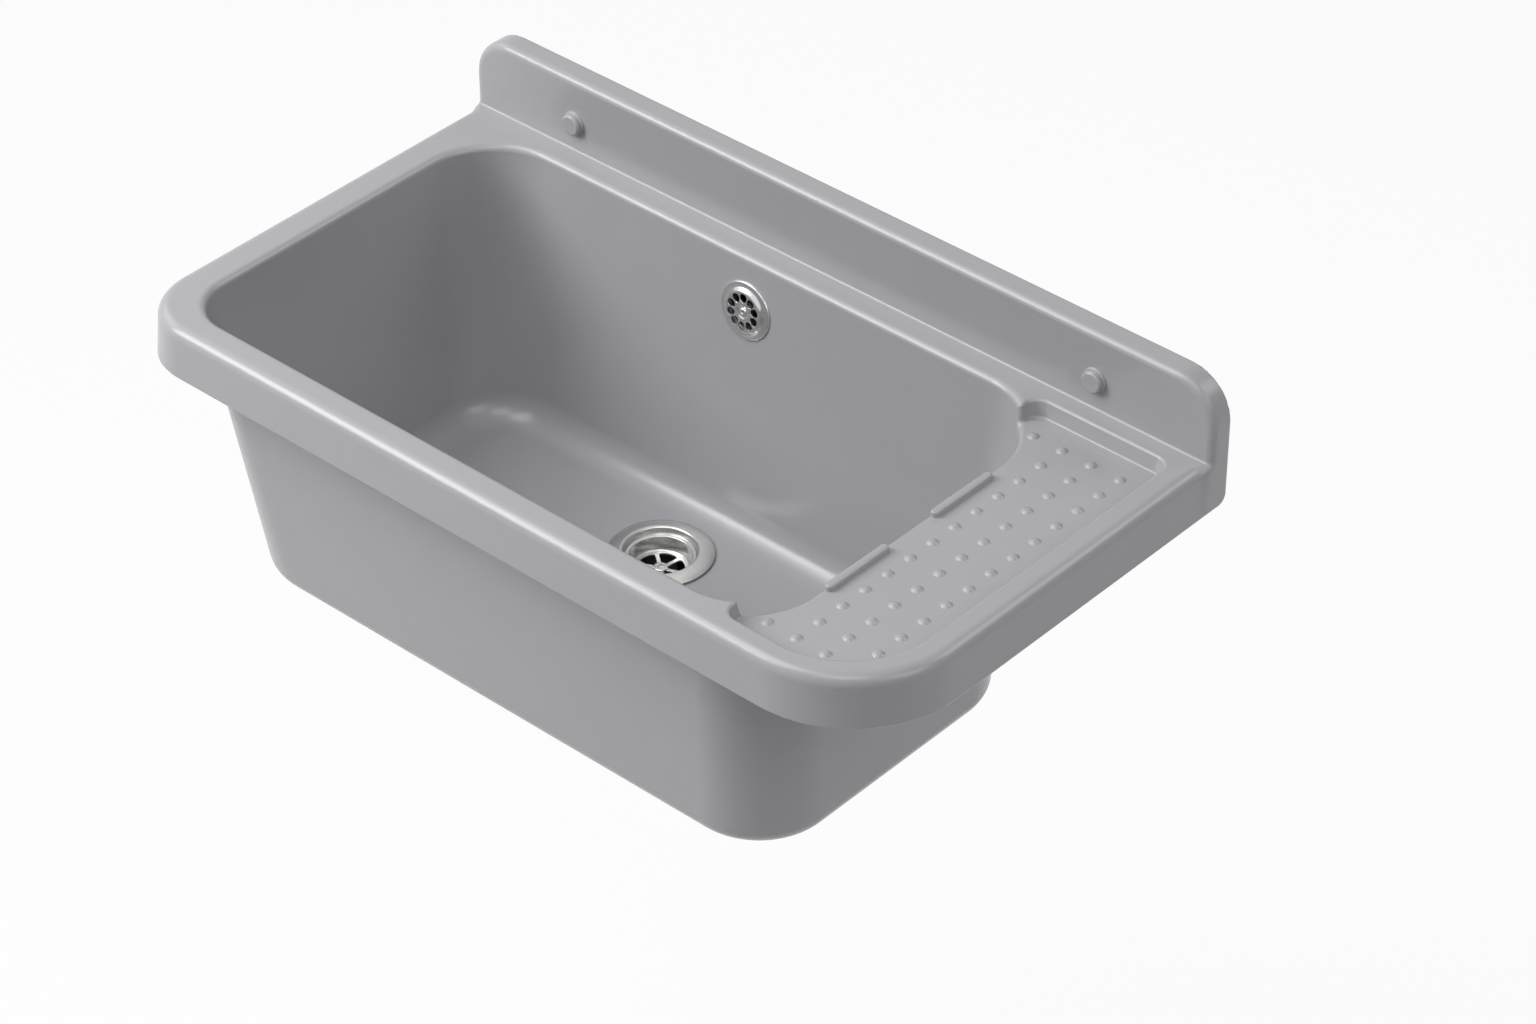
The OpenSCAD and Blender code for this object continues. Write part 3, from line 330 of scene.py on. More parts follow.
def surface_net(field, *lines):
    """Points and quads of the surface where a field on an uneven grid is zero."""
    v = field(*(on_axis(line, axis) for axis, line in enumerate(lines)))
    cells = tuple(n - 1 for n in v.shape)
    total, count = np.zeros(cells + (3,)), np.zeros(cells)
    crossings = []
    for axis, line in enumerate(lines):
        a = np.take(v, range(0, v.shape[axis] - 1), axis)
        c = np.take(v, range(1, v.shape[axis]), axis)
        cross = (a < 0) != (c < 0)
        t = np.where(cross, a / np.where(cross, a - c, 1), 0)
        along = on_axis(line[:-1], axis) + t * on_axis(np.diff(line), axis)
        others = [i for i in range(3) if i != axis]
        # Each cell takes the mean of the crossings on its twelve edges, four along each axis
        for shifts in ((0, 0), (0, 1), (1, 0), (1, 1)):
            part = [slice(None)] * 3
            for other, shift in zip(others, shifts):
                part[other] = slice(shift, shift + cells[other])
            hit = cross[tuple(part)]
            count += hit
            total[..., axis] += np.where(hit, along[tuple(part)], 0)
            for other, shift in zip(others, shifts):
                steps = on_axis(lines[other][shift:shift + cells[other]], other)
                total[..., other] += np.where(hit, steps, 0)
        crossings.append((cross, a < 0, others))
    used = count > 0
    index = np.full(cells, -1)
    index[used] = np.arange(used.sum())
    points = total[used] / count[used][:, None]
    quads = []
    for axis, (cross, inside, others) in enumerate(crossings):
        where = np.argwhere(cross)
        where = where[np.all([(where[:, o] > 0) & (where[:, o] < cells[o]) for o in others], axis=0)]
        corner = []
        for shifts in ((0, 0), (1, 0), (1, 1), (0, 1)):
            place = where.copy()
            for other, shift in zip(others, shifts):
                place[:, other] -= 1 - shift
            corner.append(index[tuple(place.T)])
        quad = np.stack(corner, axis=1)
        flip = inside[tuple(where.T)] != (axis != 1)
        quad[flip] = quad[flip][:, ::-1]
        quads.append(quad)
    return points, np.concatenate(quads)


def slope(field, p):
    """Gradient of a field at points."""
    reach = 0.02
    steps = np.eye(3) * reach
    return np.stack([(field(*(p + d).T) - field(*(p - d).T)) / (2 * reach) for d in steps], axis=1)


def settled(field, points):
    """Points moved onto the surface of a field, and the field's normals there."""
    rounds, least_slope, longest = 4, 0.2, 1
    p = points.copy()
    for _ in range(rounds):
        g = slope(field, p)
        step = (field(*p.T) / np.maximum((g * g).sum(1), least_slope))[:, None] * g
        p -= np.clip(step, -longest, longest)
    g = slope(field, p)
    return p, g / np.maximum(np.linalg.norm(g, axis=1), 1e-9)[:, None]


def spaced(start, *stretches):
    """Grid lines from a start through stretches of (end, step)."""
    lines = []
    for end, step in stretches:
        lines += list(np.linspace(start, end, max(1, round((end - start) / step)), endpoint=False))
        start = end
    return np.array(lines + [start])


# ---------------------------------------------------------------- mesh helpers

def mesh_object(name, points_mm, faces):
    """A smooth-shaded mesh object from points in millimetres."""
    mesh = bpy.data.meshes.new(name)
    mesh.from_pydata((np.asarray(points_mm, float) * MM).tolist(), [], [tuple(map(int, f)) for f in faces])
    mesh.validate()
    mesh.update()
    mesh.shade_smooth()
    piece = bpy.data.objects.new(name, mesh)
    bpy.context.scene.collection.objects.link(piece)
    return piece


def placed(part, origin, matrix=np.eye(3)):
    """A part, (points, faces), turned by a matrix and moved to an origin in millimetres."""
    points, faces = part
    return np.asarray(points, float) @ matrix.T + np.asarray(origin, float), faces


def lathe(profile, sides, closed=False):
    """Points and quads of a profile of (radius, height) turned about Z."""
    points, faces, first = [], [], []
    for radius, height in profile:
        first.append(len(points))
        for i in range(1 if radius < 1e-6 else sides):
            a = 2 * math.pi * i / sides
            points.append((radius * math.cos(a), radius * math.sin(a), height))
    first.append(len(points))
    pairs = [(k, k + 1) for k in range(len(profile) - 1)]
    if closed:
        pairs.append((len(profile) - 1, 0))
    for k, m in pairs:
        one, two = first[k + 1] - first[k] == 1, first[m + 1] - first[m] == 1
        for i in range(sides):
            j = (i + 1) % sides
            if one and two:
                continue
            if one:
                faces.append((first[k], first[m] + j, first[m] + i))
            elif two:
                faces.append((first[k] + i, first[k] + j, first[m]))
            else:
                faces.append((first[k] + i, first[k] + j, first[m] + j, first[m] + i))
    return np.array(points), faces


def arc(centre, radius, start, end, steps=6):
    """Points of an arc in a profile, with angles in degrees."""
    angles = [math.radians(start + (end - start) * i / steps) for i in range(steps + 1)]
    return [(centre[0] + radius * math.cos(a), centre[1] + radius * math.sin(a)) for a in angles]


def stack_faces(rings, count):
    """Faces of a stack of rings of count points, closed at both ends."""
    faces = []
    for start in range(0, (rings - 1) * count, count):
        for i in range(start, start + count):
            j = i + 1 if i + 1 < start + count else start
            faces.append((i, j, j + count, i + count))
    last = (rings - 1) * count
    return faces + [tuple(range(count))[::-1], tuple(range(last, last + count))]


def merged(parts):
    """Several (points, faces) as one."""
    points, faces, start = [], [], 0
    for part_points, part_faces in parts:
        points.append(np.asarray(part_points, float))
        faces += [tuple(i + start for i in face) for face in part_faces]
        start += len(part_points)
    return np.concatenate(points), faces


def perforated(count, inner, outer, hole_in, hole_out, half_angle, squareness, height, thickness, edge, turn):
    """A round plate with a ring of openings: each sector runs from its opening to its borders."""
    # half_angle gives half an opening's angle at a radius, and edge is the rounding of its top edge
    side_steps = 8
    corners = [(-1, -1), (1, -1), (1, 1), (-1, 1)]
    border = []
    for (ax, ay), (bx, by) in zip(corners, corners[1:] + corners[:1]):
        border += [(ax + (bx - ax) * i / side_steps, ay + (by - ay) * i / side_steps)
                   for i in range(side_steps)]
    sector = math.pi / count
    # Loops of points round an opening: their share of the way to the borders, and their drop
    loops = [(1, thickness), (0.35, thickness), (0, thickness), (0, edge)]
    loops += [(0.10 * (1 - math.cos(a)), edge * (1 - math.sin(a))) for a in np.radians([30, 60, 90])]
    loops += [(0.3, 0), (0.6, 0), (1, 0)]
    n = len(border)
    top = (len(loops) - 1) * n
    points, faces = [], []
    for s in range(count):
        base = len(points)
        for t, drop in loops:
            for u, w in border:
                k = (abs(u) ** squareness + abs(w) ** squareness) ** (-1 / squareness)
                hole_r = (hole_in + hole_out) / 2 + u * k * (hole_out - hole_in) / 2
                hole_a = w * k * half_angle(hole_r)
                far_r = (inner + outer) / 2 + u * (outer - inner) / 2
                r = hole_r + (far_r - hole_r) * t
                a = turn + 2 * sector * s + hole_a + (w * sector - hole_a) * t
                points.append((r * math.cos(a), r * math.sin(a), height - drop))
        for first in range(base, base + top, n):
            for i in range(n):
                j = (i + 1) % n
                faces.append((first + j, first + i, first + n + i, first + n + j))
        for i in range(n):
            j = (i + 1) % n
            if abs(border[i][0]) == 1 and border[i][0] == border[j][0]:
                faces.append((base + i, base + j, base + top + j, base + top + i))
    return np.array(points), faces


def welded(piece):
    """Joins a mesh's points that lie on each other and turns its faces outwards."""
    distance_mm = 0.002
    bm = bmesh.new()
    bm.from_mesh(piece.data)
    bmesh.ops.remove_doubles(bm, verts=bm.verts, dist=distance_mm * MM)
    bmesh.ops.recalc_face_normals(bm, faces=bm.faces)
    bm.to_mesh(piece.data)
    bm.free()
    return piece


def sharpened(piece, degrees=40):
    """Keeps smooth shading off a mesh's sharp edges."""
    piece.data.set_sharp_from_angle(angle=math.radians(degrees))
    return piece


# ---------------------------------------------------------------- materials

def new_material(name):
    """An empty node material and its shader."""
    material = bpy.data.materials.new(name)
    material.use_nodes = True
    return material, material.node_tree.nodes["Principled BSDF"]


def add_node(holder, kind, settings=None, links=None):
    """Adds a node: settings go to its sockets or attributes, and links join its sockets to others'."""
    node = holder.node_tree.nodes.new(kind)
    for key, value in (settings or {}).items():
        if isinstance(key, int) or key in node.inputs:
            node.inputs[key].default_value = value
        else:
            setattr(node, key, value)
    for key, source in (links or {}).items():
        holder.node_tree.links.new(source, node.inputs[key])
    return node


def grained(name, tint, roughness, grain_mm, relief_mm, mottle, mottle_mm=40.0, ior=1.49, metallic=0.0):
    """A surface with a fine grain in its relief and roughness and a slow drift in its colour."""
    material, shader = new_material(name)
    place = add_node(material, "ShaderNodeTexCoord").outputs["Object"]
    slow = add_node(material, "ShaderNodeTexNoise", {"Scale": 1 / (mottle_mm * MM), "Detail": 3.0},
                    {"Vector": place})
    fine = add_node(material, "ShaderNodeTexNoise", {"Scale": 1 / (grain_mm * MM), "Detail": 2.0},
                    {"Vector": place})
    base = getattr(bpy.context.scene.sink_finishes, tint)
    dark = [c * (1 - mottle) for c in base] + [1]
    pale = [min(1, c * (1 + mottle)) for c in base] + [1]
    drift = add_node(material, "ShaderNodeMix", {"data_type": "RGBA", 6: dark, 7: pale},
                     {0: slow.outputs["Fac"]})
    rough = add_node(material, "ShaderNodeMapRange", {"To Min": roughness * 0.9, "To Max": roughness * 1.1},
                     {"Value": fine.outputs["Fac"]})    # a tenth less and more over the grain
    bump = add_node(material, "ShaderNodeBump", {"Strength": 1.0, "Distance": relief_mm * MM},
                    {"Height": fine.outputs["Fac"]})
    for output, socket in ((drift.outputs[2], "Base Color"), (rough.outputs[0], "Roughness"),
                           (bump.outputs[0], "Normal")):
        material.node_tree.links.new(output, shader.inputs[socket])
    shader.inputs["Metallic"].default_value = metallic
    if not metallic:
        shader.inputs["IOR"].default_value = ior
    return material


# The real surfaces: each one's colour among the finishes, its roughness and the sizes of its grain
SURFACES = {
    # Injection-moulded polypropylene: a soft gloss with a faint orange-peel grain, so edges
    # catch long pale highlights and broad faces stay cloudy
    "moulded_polypropylene": dict(tint="basin", roughness=0.25, grain_mm=1.6, relief_mm=0.004, mottle=0.025),
    # The caps are tinted a slightly paler grey than the basin, with a polished face
    "moulded_cap_plastic": dict(tint="cap", roughness=0.2, grain_mm=1.2, relief_mm=0.004, mottle=0.02),
    # Pressed stainless sheet, satin on its flange: fine scratches widen every highlight, and a
    # thin film of scale adds a dull share
    "satin_stainless": dict(tint="steel", roughness=0.24, grain_mm=0.5, relief_mm=0.006, mottle=0.04,
                            mottle_mm=12, metallic=0.8),
    # Chromium plate on a polished pressing: bright at its bevel, and dulled by a film of scale
    "bright_chrome": dict(tint="chrome", roughness=0.15, grain_mm=2.0, relief_mm=0.004, mottle=0.02,
                          mottle_mm=10, metallic=0.72),
    # Zinc-plated steel: bluish and slightly dull
    "zinc_plate": dict(tint="zinc", roughness=0.32, grain_mm=0.6, relief_mm=0.006, mottle=0.05,
                       mottle_mm=6, metallic=1.0),
    # Turned brass: warm, with fine tool marks
    "turned_brass": dict(tint="brass", roughness=0.28, grain_mm=0.4, relief_mm=0.005, mottle=0.04,
                         mottle_mm=5, metallic=1.0),
    # Black rubber: dull, with a powdery bloom
    "moulded_rubber": dict(tint="rubber", roughness=0.7, grain_mm=0.8, relief_mm=0.02, mottle=0.15,
                           mottle_mm=8, ior=1.52),
    # Black polypropylene of the waste and elbow: waxy, with a fine spark-eroded grain
    "black_polypropylene": dict(tint="black", roughness=0.42, grain_mm=1.0, relief_mm=0.02, mottle=0.05),
    # Soft extruded plastic of the hose: slightly waxy and a little yellower
    "extruded_hose_plastic": dict(tint="hose", roughness=0.45, grain_mm=1.2, relief_mm=0.015, mottle=0.03),
}


def finish_piece(piece, surface):
    """Gives a piece the material of one of the surfaces, which is made on its first use."""
    material = bpy.data.materials.get(surface) or grained(surface, **SURFACES[surface])
    piece.data.materials.clear()
    piece.data.materials.append(material)


def dress(piece, surface, body, node):
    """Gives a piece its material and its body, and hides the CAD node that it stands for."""
    finish_piece(piece, surface)
    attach(piece, body)
    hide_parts(node)


# ---------------------------------------------------------------- operators

class SINK_OT_basin(bpy.types.Operator):
    """Build the moulded basin: rim, skirt, backsplash, bowl and tray as one thin shell"""
    bl_idname = "sink.basin"
    bl_label = "Basin"

    def execute(self, context):
        field = Basin(context.scene)
        # Grid steps stay well under the wall's thickness at the corners, and are finest at tight roundings
        x0, x1, y0, y1 = field.bowl
        wx, wy = field.waste[:2]
        tray_front, tray_x, tray_y = field.tray[2], field.tray[1], field.tray[3]
        rim_z, tray_z, floor_z, foot_z = field.rim_z, field.tray_z, field.floor_z, field.foot_z
        splash_y = field.splash_y
        margin, corner, drain, fine = 3.0, 66, 34, 5
        xs = spaced(field.left - margin, (x0 + corner, 2.0), (wx - drain, 6), (wx + drain, 2.4),
                    (x1 - corner, 6), (x1 - 24, 2.0), (x1 + 4, 1.1), (tray_x - fine, 2.4), (tray_x + 3, 0.7),
                    (field.right + margin, 1.8))
        ys = spaced(field.front - margin, (tray_front - 3, 1.8), (tray_front + fine, 0.8), (y0 + corner, 2.0),
                    (wy - drain, 5), (y1 - 24, 2.0), (tray_y - fine, 1.8), (tray_y + 3, 0.7),
                    (splash_y - 3, 1.4), (splash_y + 7, 0.9), (margin, 2.0))
        zs = spaced(floor_z - field.b["wall"] - margin, (floor_z - 1, 2.0), (floor_z + 10, 1.2),
                    (floor_z + 22, 2.4), (foot_z - 4, 5), (tray_z - 1, 2.0), (tray_z + 3, 0.5),
                    (rim_z - 9, 1.5), (rim_z + 3, 0.9), (field.top - 8, 2.4), (field.top + margin, 1.2))
        points, quads = surface_net(field, xs, ys, zs)
        points, normals = settled(field, points)
        piece = mesh_object("basin_shell", np.clip(points, *box_mm("basin")), quads)
        piece.data.normals_split_custom_set_from_vertices(normals.tolist())
        dress(piece, "moulded_polypropylene", "sink", "basin")
        return {"FINISHED"}


def stud_places(field):
    """Centres of the tray's studs, left out over the bowl and at the tray's walls."""
    t = field.t
    places = []
    for column in range(t["columns"]):
        for row in range(t["rows"]):
            x = field.tray[1] - t["margin_right"] - column * t["pitch_x"]
            y = field.tray[2] + t["margin_front"] + row * t["pitch_y"]
            bowl = rounded_rectangle(x, y, *field.bowl, field.bowl_corners)
            tray = rounded_rectangle(x, y, *field.tray, field.tray_corners)
            if bowl > t["stud_clearance"] and tray < -t["stud_clearance"]:
                places.append((x, y))
    return places


def rib_bar(centre, half, straight, height):
    """A round-ended bar along Y, sunk a little into the tray, with a rounded top edge."""
    sides, edge, sunk = 40, 1.4, 1.5
    loops = [(0, -sunk), (0, height - edge)]
    loops += [(edge * (1 - math.cos(a)), height - edge * (1 - math.sin(a)))
              for a in np.radians([22, 45, 68, 90])]
    loops.append((half * 0.8, height))
    points = []
    for inset, z in loops:
        r = half - inset
        for i in range(sides):
            a = 2 * math.pi * (i + 0.5) / sides
            shift = straight if math.sin(a) > 0 else -straight
            points.append((centre[0] + r * math.cos(a), centre[1] + r * math.sin(a) + shift, centre[2] + z))
    return points, stack_faces(len(loops), sides)


class SINK_OT_studs(bpy.types.Operator):
    """Build the tray's raised studs and its two rib bars"""
    bl_idname = "sink.studs"
    bl_label = "Studs and bars"

    def execute(self, context):
        field = Basin(context.scene)
        t = field.t
        radius, height, steps, fullness = t["stud_radius"], t["stud_height"], 8, 2.4
        profile = [(0, height)]
        for i in range(1, steps + 1):
            share = i / steps
            profile.append((radius * share, height * (1 - share ** fullness)))
        # A foot that is sunk in the tray's plastic
        profile += [(radius + 0.5, -0.15), (radius + 0.3, -1.2), (0, -1.2)]
        dome = lathe(profile[::-1], 28)
        studs = merged([placed(dome, (x, y, field.tray_z)) for x, y in stud_places(field)])
        half, straight = t["bar_width"] / 2, (t["bar_length"] - t["bar_width"]) / 2
        x = field.bowl[1] + half - t["depth"] * math.tan(field.b["bowl_end_draft"])
        bars = merged([rib_bar((x, field.front + t["bar_centre"] + side * t["bar_spacing"] / 2, field.tray_z),
                               half, straight, t["bar_height"]) for side in (-1, 1)])
        for piece in (welded(mesh_object("tray_studs", *studs)), mesh_object("rib_bars", *bars)):
            dress(sharpened(piece, 50), "moulded_polypropylene", "sink", "basin")
        return {"FINISHED"}


# Turn local Z to the room's -Y out of the backsplash, to its +Y into the wall, and to its -Z
OUT_OF_WALL = np.array([[1, 0, 0], [0, 0, -1], [0, 1, 0]])
INTO_WALL = np.array([[1, 0, 0], [0, 0, 1], [0, -1, 0]])
DOWNWARDS = np.diag([1, -1, -1])


def cap_profile(radius, depth):
    """Section of a screw cap: a hollow cup with a rounded edge and a faintly domed face."""
    hollow, rounding = 5.55, 1.3
    rim = arc((radius - rounding, depth - rounding), rounding, 0, 90)
    return [(0, depth - 1), (hollow, depth - 1), (hollow, 0), (radius - 0.25, 0), (radius, 0.25),
            *rim, (radius - 2.6, depth), (0, depth - 0.15)]


def collar_profile(radius):
    """Section of a cap's collar: a plate on the backsplash with a spigot that the cap grips."""
    hole, plate, rounding, spigot, spigot_bore = 3.6, 1.5, 0.6, 5.5, 4.75
    rim = arc((radius - rounding, plate - rounding), rounding, 0, 90, 4)
    return [(hole, 0), (radius, 0), *rim, (spigot, plate), (spigot, plate + 2), (spigot_bore, plate + 2),
            (spigot_bore, plate), (hole, plate)]


class SINK_OT_caps(bpy.types.Operator):
    """Build the two screw caps and the collars that hold them"""
    bl_idname = "sink.caps"
    bl_label = "Screw caps"

    def execute(self, context):
        for side in ("left", "right"):
            for kind, body in (("screw_cap", "cap_" + side), ("cap_collar", "sink")):
                node = f"{kind}_{side}"
                low, high = box_mm(node)
                centre, radius = (low + high) / 2, (high[0] - low[0]) / 2
                if kind == "screw_cap":
                    part = lathe(cap_profile(radius, high[1] - low[1]), 64)
                else:
                    part = lathe(collar_profile(radius), 64, closed=True)
                part = placed(part, (centre[0], high[1], centre[2]), OUT_OF_WALL)
                piece = sharpened(welded(mesh_object(f"{node}_shell", *part)))
                dress(piece, "moulded_cap_plastic", body, node)
        return {"FINISHED"}


class SINK_OT_strainer(bpy.types.Operator):
    """Build the strainer's flange, cup and grid"""
    bl_idname = "sink.strainer"
    bl_label = "Strainer"

    def execute(self, context):
        f = millimetres(context.scene.sink_fittings)
        low, high = box_mm("strainer_flange")
        centre = (low + high) / 2
        flange, lip, cup = (high[0] - low[0]) / 2, f["lip"], f["cup"]
        # Heights run down from the flange's top, and floor is the cup's upper face
        floor = low[2] - high[2] + 1.2
        outside = [(flange - 1.6, -3.1), (flange - 0.1, -3.1), (flange, -2.6), (flange - 0.5, -2.1),
                   (flange - 3.0, -1.3), (flange - 6.0, -0.6), (lip + 2.6, -0.05)]
        roll = arc((lip + 1.7, -1.7), 1.7, 88, 180, 8)
        wall = [(lip - 0.05, -3.6), (lip - 0.5, -4.6), *arc((lip - 1.6, -5.0), 0.9, 0, 80, 5),
                (lip - 2.6, -4.6), *arc((lip - 2.8, -5.4), 0.8, 90, 180, 4), (lip - 3.8, floor + 5.5),
                (cup + 1.0, floor + 2.4), *arc((cup - 0.6, floor + 1.6), 1.6, -10, -90, 5),
                (cup - 2.2, floor)]
        under = [(cup - 2.2, floor - 1.1), (cup + 0.2, floor - 1.1), (cup + 2.2, floor + 2.0),
                 (lip - 2.7, -6.6), (lip + 0.9, -5.8), (lip + 1.2, -2.6), (flange - 1.6, -2.4)]
        dish = lathe(outside + roll + wall + under, 128, closed=True)
        openings, hub, squareness = 6, 3.2, 7
        sector = math.pi / openings
        grid = perforated(openings, hub, cup - 1.8, f["grid_hub"], f["grid_outer"],
                          lambda r: sector - math.asin(f["spoke"] / 2 / r), squareness, floor + 0.35,
                          1.1, 0.7, math.radians(-8))
        origin = (centre[0], centre[1], high[2])
        for name, part in (("strainer_dish", dish), ("strainer_grid", grid)):
            piece = sharpened(welded(mesh_object(name, *placed(part, origin))), 60)
            dress(piece, "satin_stainless", "sink", "strainer_flange")
        return {"FINISHED"}


class SINK_OT_rosette(bpy.types.Operator):
    """Build the overflow rosette and its screw"""
    bl_idname = "sink.rosette"
    bl_label = "Overflow rosette"

    def execute(self, context):
        field = Basin(context.scene)
        f = field.f
        square_on = np.array(Matrix.Rotation(math.pi / 2 - field.b["bowl_draft"], 3, "X"))
        low, high = box_mm("overflow_rosette")
        radius = (high[0] - low[0]) / 2
        # Heights run out from the bowl's wall: the holes' plate, and the seat of the screw's head
        height, seat, plate_in, plate_out = 3.6, 2.8, 5.4, 13.2
        ring = [(plate_out, height - 0.9), (plate_out, height), (13.9, 3.5), (14.6, 3.15), (15.3, 2.6),
                (16.0, 2.05), (16.8, 1.7), (17.8, 1.5), (radius - 1.1, 1.35), (radius - 0.3, 1.2),
                (radius, 0.9), (radius, 0.05), (radius - 1, 0.05), (radius - 1.4, 0.45), (17.0, 0.6),
                (15.7, 1.1), (14.8, 1.9), (14.0, 2.5)]
        dish = [(0, seat), (3.2, seat), (3.8, seat + 0.15), (4.6, height - 0.15), (plate_in - 0.3, height),
                (plate_in, height), (plate_in, height - 0.9), (3.8, seat - 0.6), (0, seat - 0.6)]
        holes, roundness = 10, 2
        middle, half = f["rosette_ring"], f["rosette_hole"]
        plate = perforated(holes, plate_in, plate_out, middle - half, middle + half,
                           lambda r: f["rosette_web"] / middle, roundness, height, 0.9, 0.4, math.pi / holes)
        body = merged([lathe(ring, 128, closed=True), lathe(dish, 64), plate])
        piece = sharpened(welded(mesh_object("rosette_plate", *placed(body, field.overflow, square_on))), 50)
        screw_low, screw_high = box_mm("rosette_screw")
        head_depth, thread_length, shank = 2, 14, 2.0
        reach = screw_high[1] - screw_low[1] - head_depth
        plain = reach - thread_length
        head = socket_head(2.6, 0.8, 1.0, 0.5)
        shaft = threaded([(shank, 0), (shank, plain), (shank, reach - 1), (1.4, reach)], plain, 0.8, 1.6)
        screw = merged([placed(head, (0, 0, seat)), placed(shaft, (0, 0, seat + 0.3), DOWNWARDS)])
        screw_piece = mesh_object("rosette_screw_threaded", *placed(screw, field.overflow, square_on))
        dress(piece, "bright_chrome", "sink", "overflow_rosette")
        dress(sharpened(screw_piece, 45), "bright_chrome", "sink", "rosette_screw")
        return {"FINISHED"}


def hose_route(field, hose, rib):
    """Point of the hose's centre line after a number of ribs: straight, bent, straight."""
    tilt = field.b["bowl_draft"]
    down = np.array([0, -math.sin(tilt), -math.cos(tilt)])
    to_wall = np.array([0, 1, 0])
    behind = np.array([0, math.cos(tilt), -math.sin(tilt)])
    start = field.overflow + behind * hose["depth"] + down * hose["top"]
    low, high = box_mm("hose_washer")
    end = np.array([(low[0] + high[0]) / 2, high[1], (low[2] + high[2]) / 2])
    straight, straight_ribs, ribs = hose["straight"], hose["straight_ribs"], hose["ribs"]
    if rib < straight_ribs:
        return start + straight * rib / straight_ribs * down
    if rib > ribs - straight_ribs:
        return end + straight * (ribs - rib) / straight_ribs * to_wall
    a, d = start + straight * down, end + straight * to_wall
    b, c = a + hose["pull_down"] * down, d + hose["pull_back"] * to_wall
    t = (rib - straight_ribs) / (ribs - 2 * straight_ribs)
    return a * (1 - t) ** 3 + b * 3 * t * (1 - t) ** 2 + c * 3 * t ** 2 * (1 - t) + d * t ** 3


class SINK_OT_hose(bpy.types.Operator):
    """Build the ribbed overflow hose with its bore"""
    bl_idname = "sink.hose"
    bl_label = "Overflow hose"

    def execute(self, context):
        field = Basin(context.scene)
        hose = millimetres(context.scene.sink_hose)
        sides, per_rib, nudge = 36, 8, 0.01
        rings = hose["ribs"] * per_rib
        points = []
        for bore in (False, True):
            for k in range(rings + 1):
                rib = k / per_rib
                centre = hose_route(field, hose, rib)
                ahead = hose_route(field, hose, min(hose["ribs"], rib + nudge))
                along = ahead - hose_route(field, hose, max(0, rib - nudge))
                along /= np.linalg.norm(along)
                side = np.cross(along, [1, 0, 0])
                side /= np.linalg.norm(side)
                up = np.cross(side, along)
                crest = abs(math.sin(math.pi * rib)) ** 0.7
                radius = hose["radius"] - hose["groove"] * (1 - crest) - bore * hose["wall"]
                for i in range(sides):
                    a = 2 * math.pi * i / sides
                    points.append(centre + radius * (math.cos(a) * side + math.sin(a) * up))
        faces = []
        last, inner = rings * sides, (rings + 1) * sides
        for i in range(sides):
            j = (i + 1) % sides
            for here in range(0, last, sides):
                there = here + sides
                faces.append((here + i, there + i, there + j, here + j))
                faces.append((inner + here + j, inner + there + j, inner + there + i, inner + here + i))
            faces.append((j, inner + j, inner + i, i))
            faces.append((last + i, inner + last + i, inner + last + j, last + j))
        piece = sharpened(welded(mesh_object("ribbed_hose", points, faces)), 70)
        dress(piece, "extruded_hose_plastic", "sink", "overflow_hose")
        return {"FINISHED"}


def threaded(profile, start, pitch, core):
    """A shaft from a profile of (radius, height) that carries a helical thread above a height."""
    # The flank is a share of the pitch; where the tip is thinner than the core, its core is a share of it
    sides, steps, flank, point_core = 24, 8, 0.32, 0.8
    radii, levels = zip(*profile)
    heights = {h for h in levels if h <= start} | set(np.arange(start, levels[-1], pitch / steps))
    heights = sorted(heights) + [levels[-1]]
    points = []
    for h in heights:
        full = float(np.interp(h, levels, radii))
        low = core if full > core else full * point_core
        for i in range(sides):
            phase = ((h - start) / pitch - i / sides) % 1
            crest = max(0.0, 1 - abs(phase - 0.5) / flank) if h > start else 1.0
            r = low + (full - low) * crest
            a = 2 * math.pi * i / sides
            points.append((r * math.cos(a), r * math.sin(a), h))
    return points, stack_faces(len(heights), sides)


def socket_head(radius, height, recess, depth):
    """A round screw head with a hexagonal recess; its underside is at height 0."""
    sides, half_side = 48, math.pi / 6
    rings = [(radius * 0.5, 0), (radius - 0.2, 0), (radius, 0.2), (radius, height - 0.6),
             (radius - 0.2, height - 0.2), (radius - 0.7, height), (recess + 0.3, height),
             (recess, height - 0.3), (recess, height - depth), (0.01, height - depth)]
    first_hexagonal = 6
    points = []
    for k, (r, h) in enumerate(rings):
        for i in range(sides):
            a = 2 * math.pi * i / sides
            flat = math.cos(half_side) / math.cos((a + half_side) % (2 * half_side) - half_side)
            share = flat if k >= first_hexagonal else 1
            points.append((r * math.cos(a) * share, r * math.sin(a) * share, h))
    return points, stack_faces(len(rings), sides)


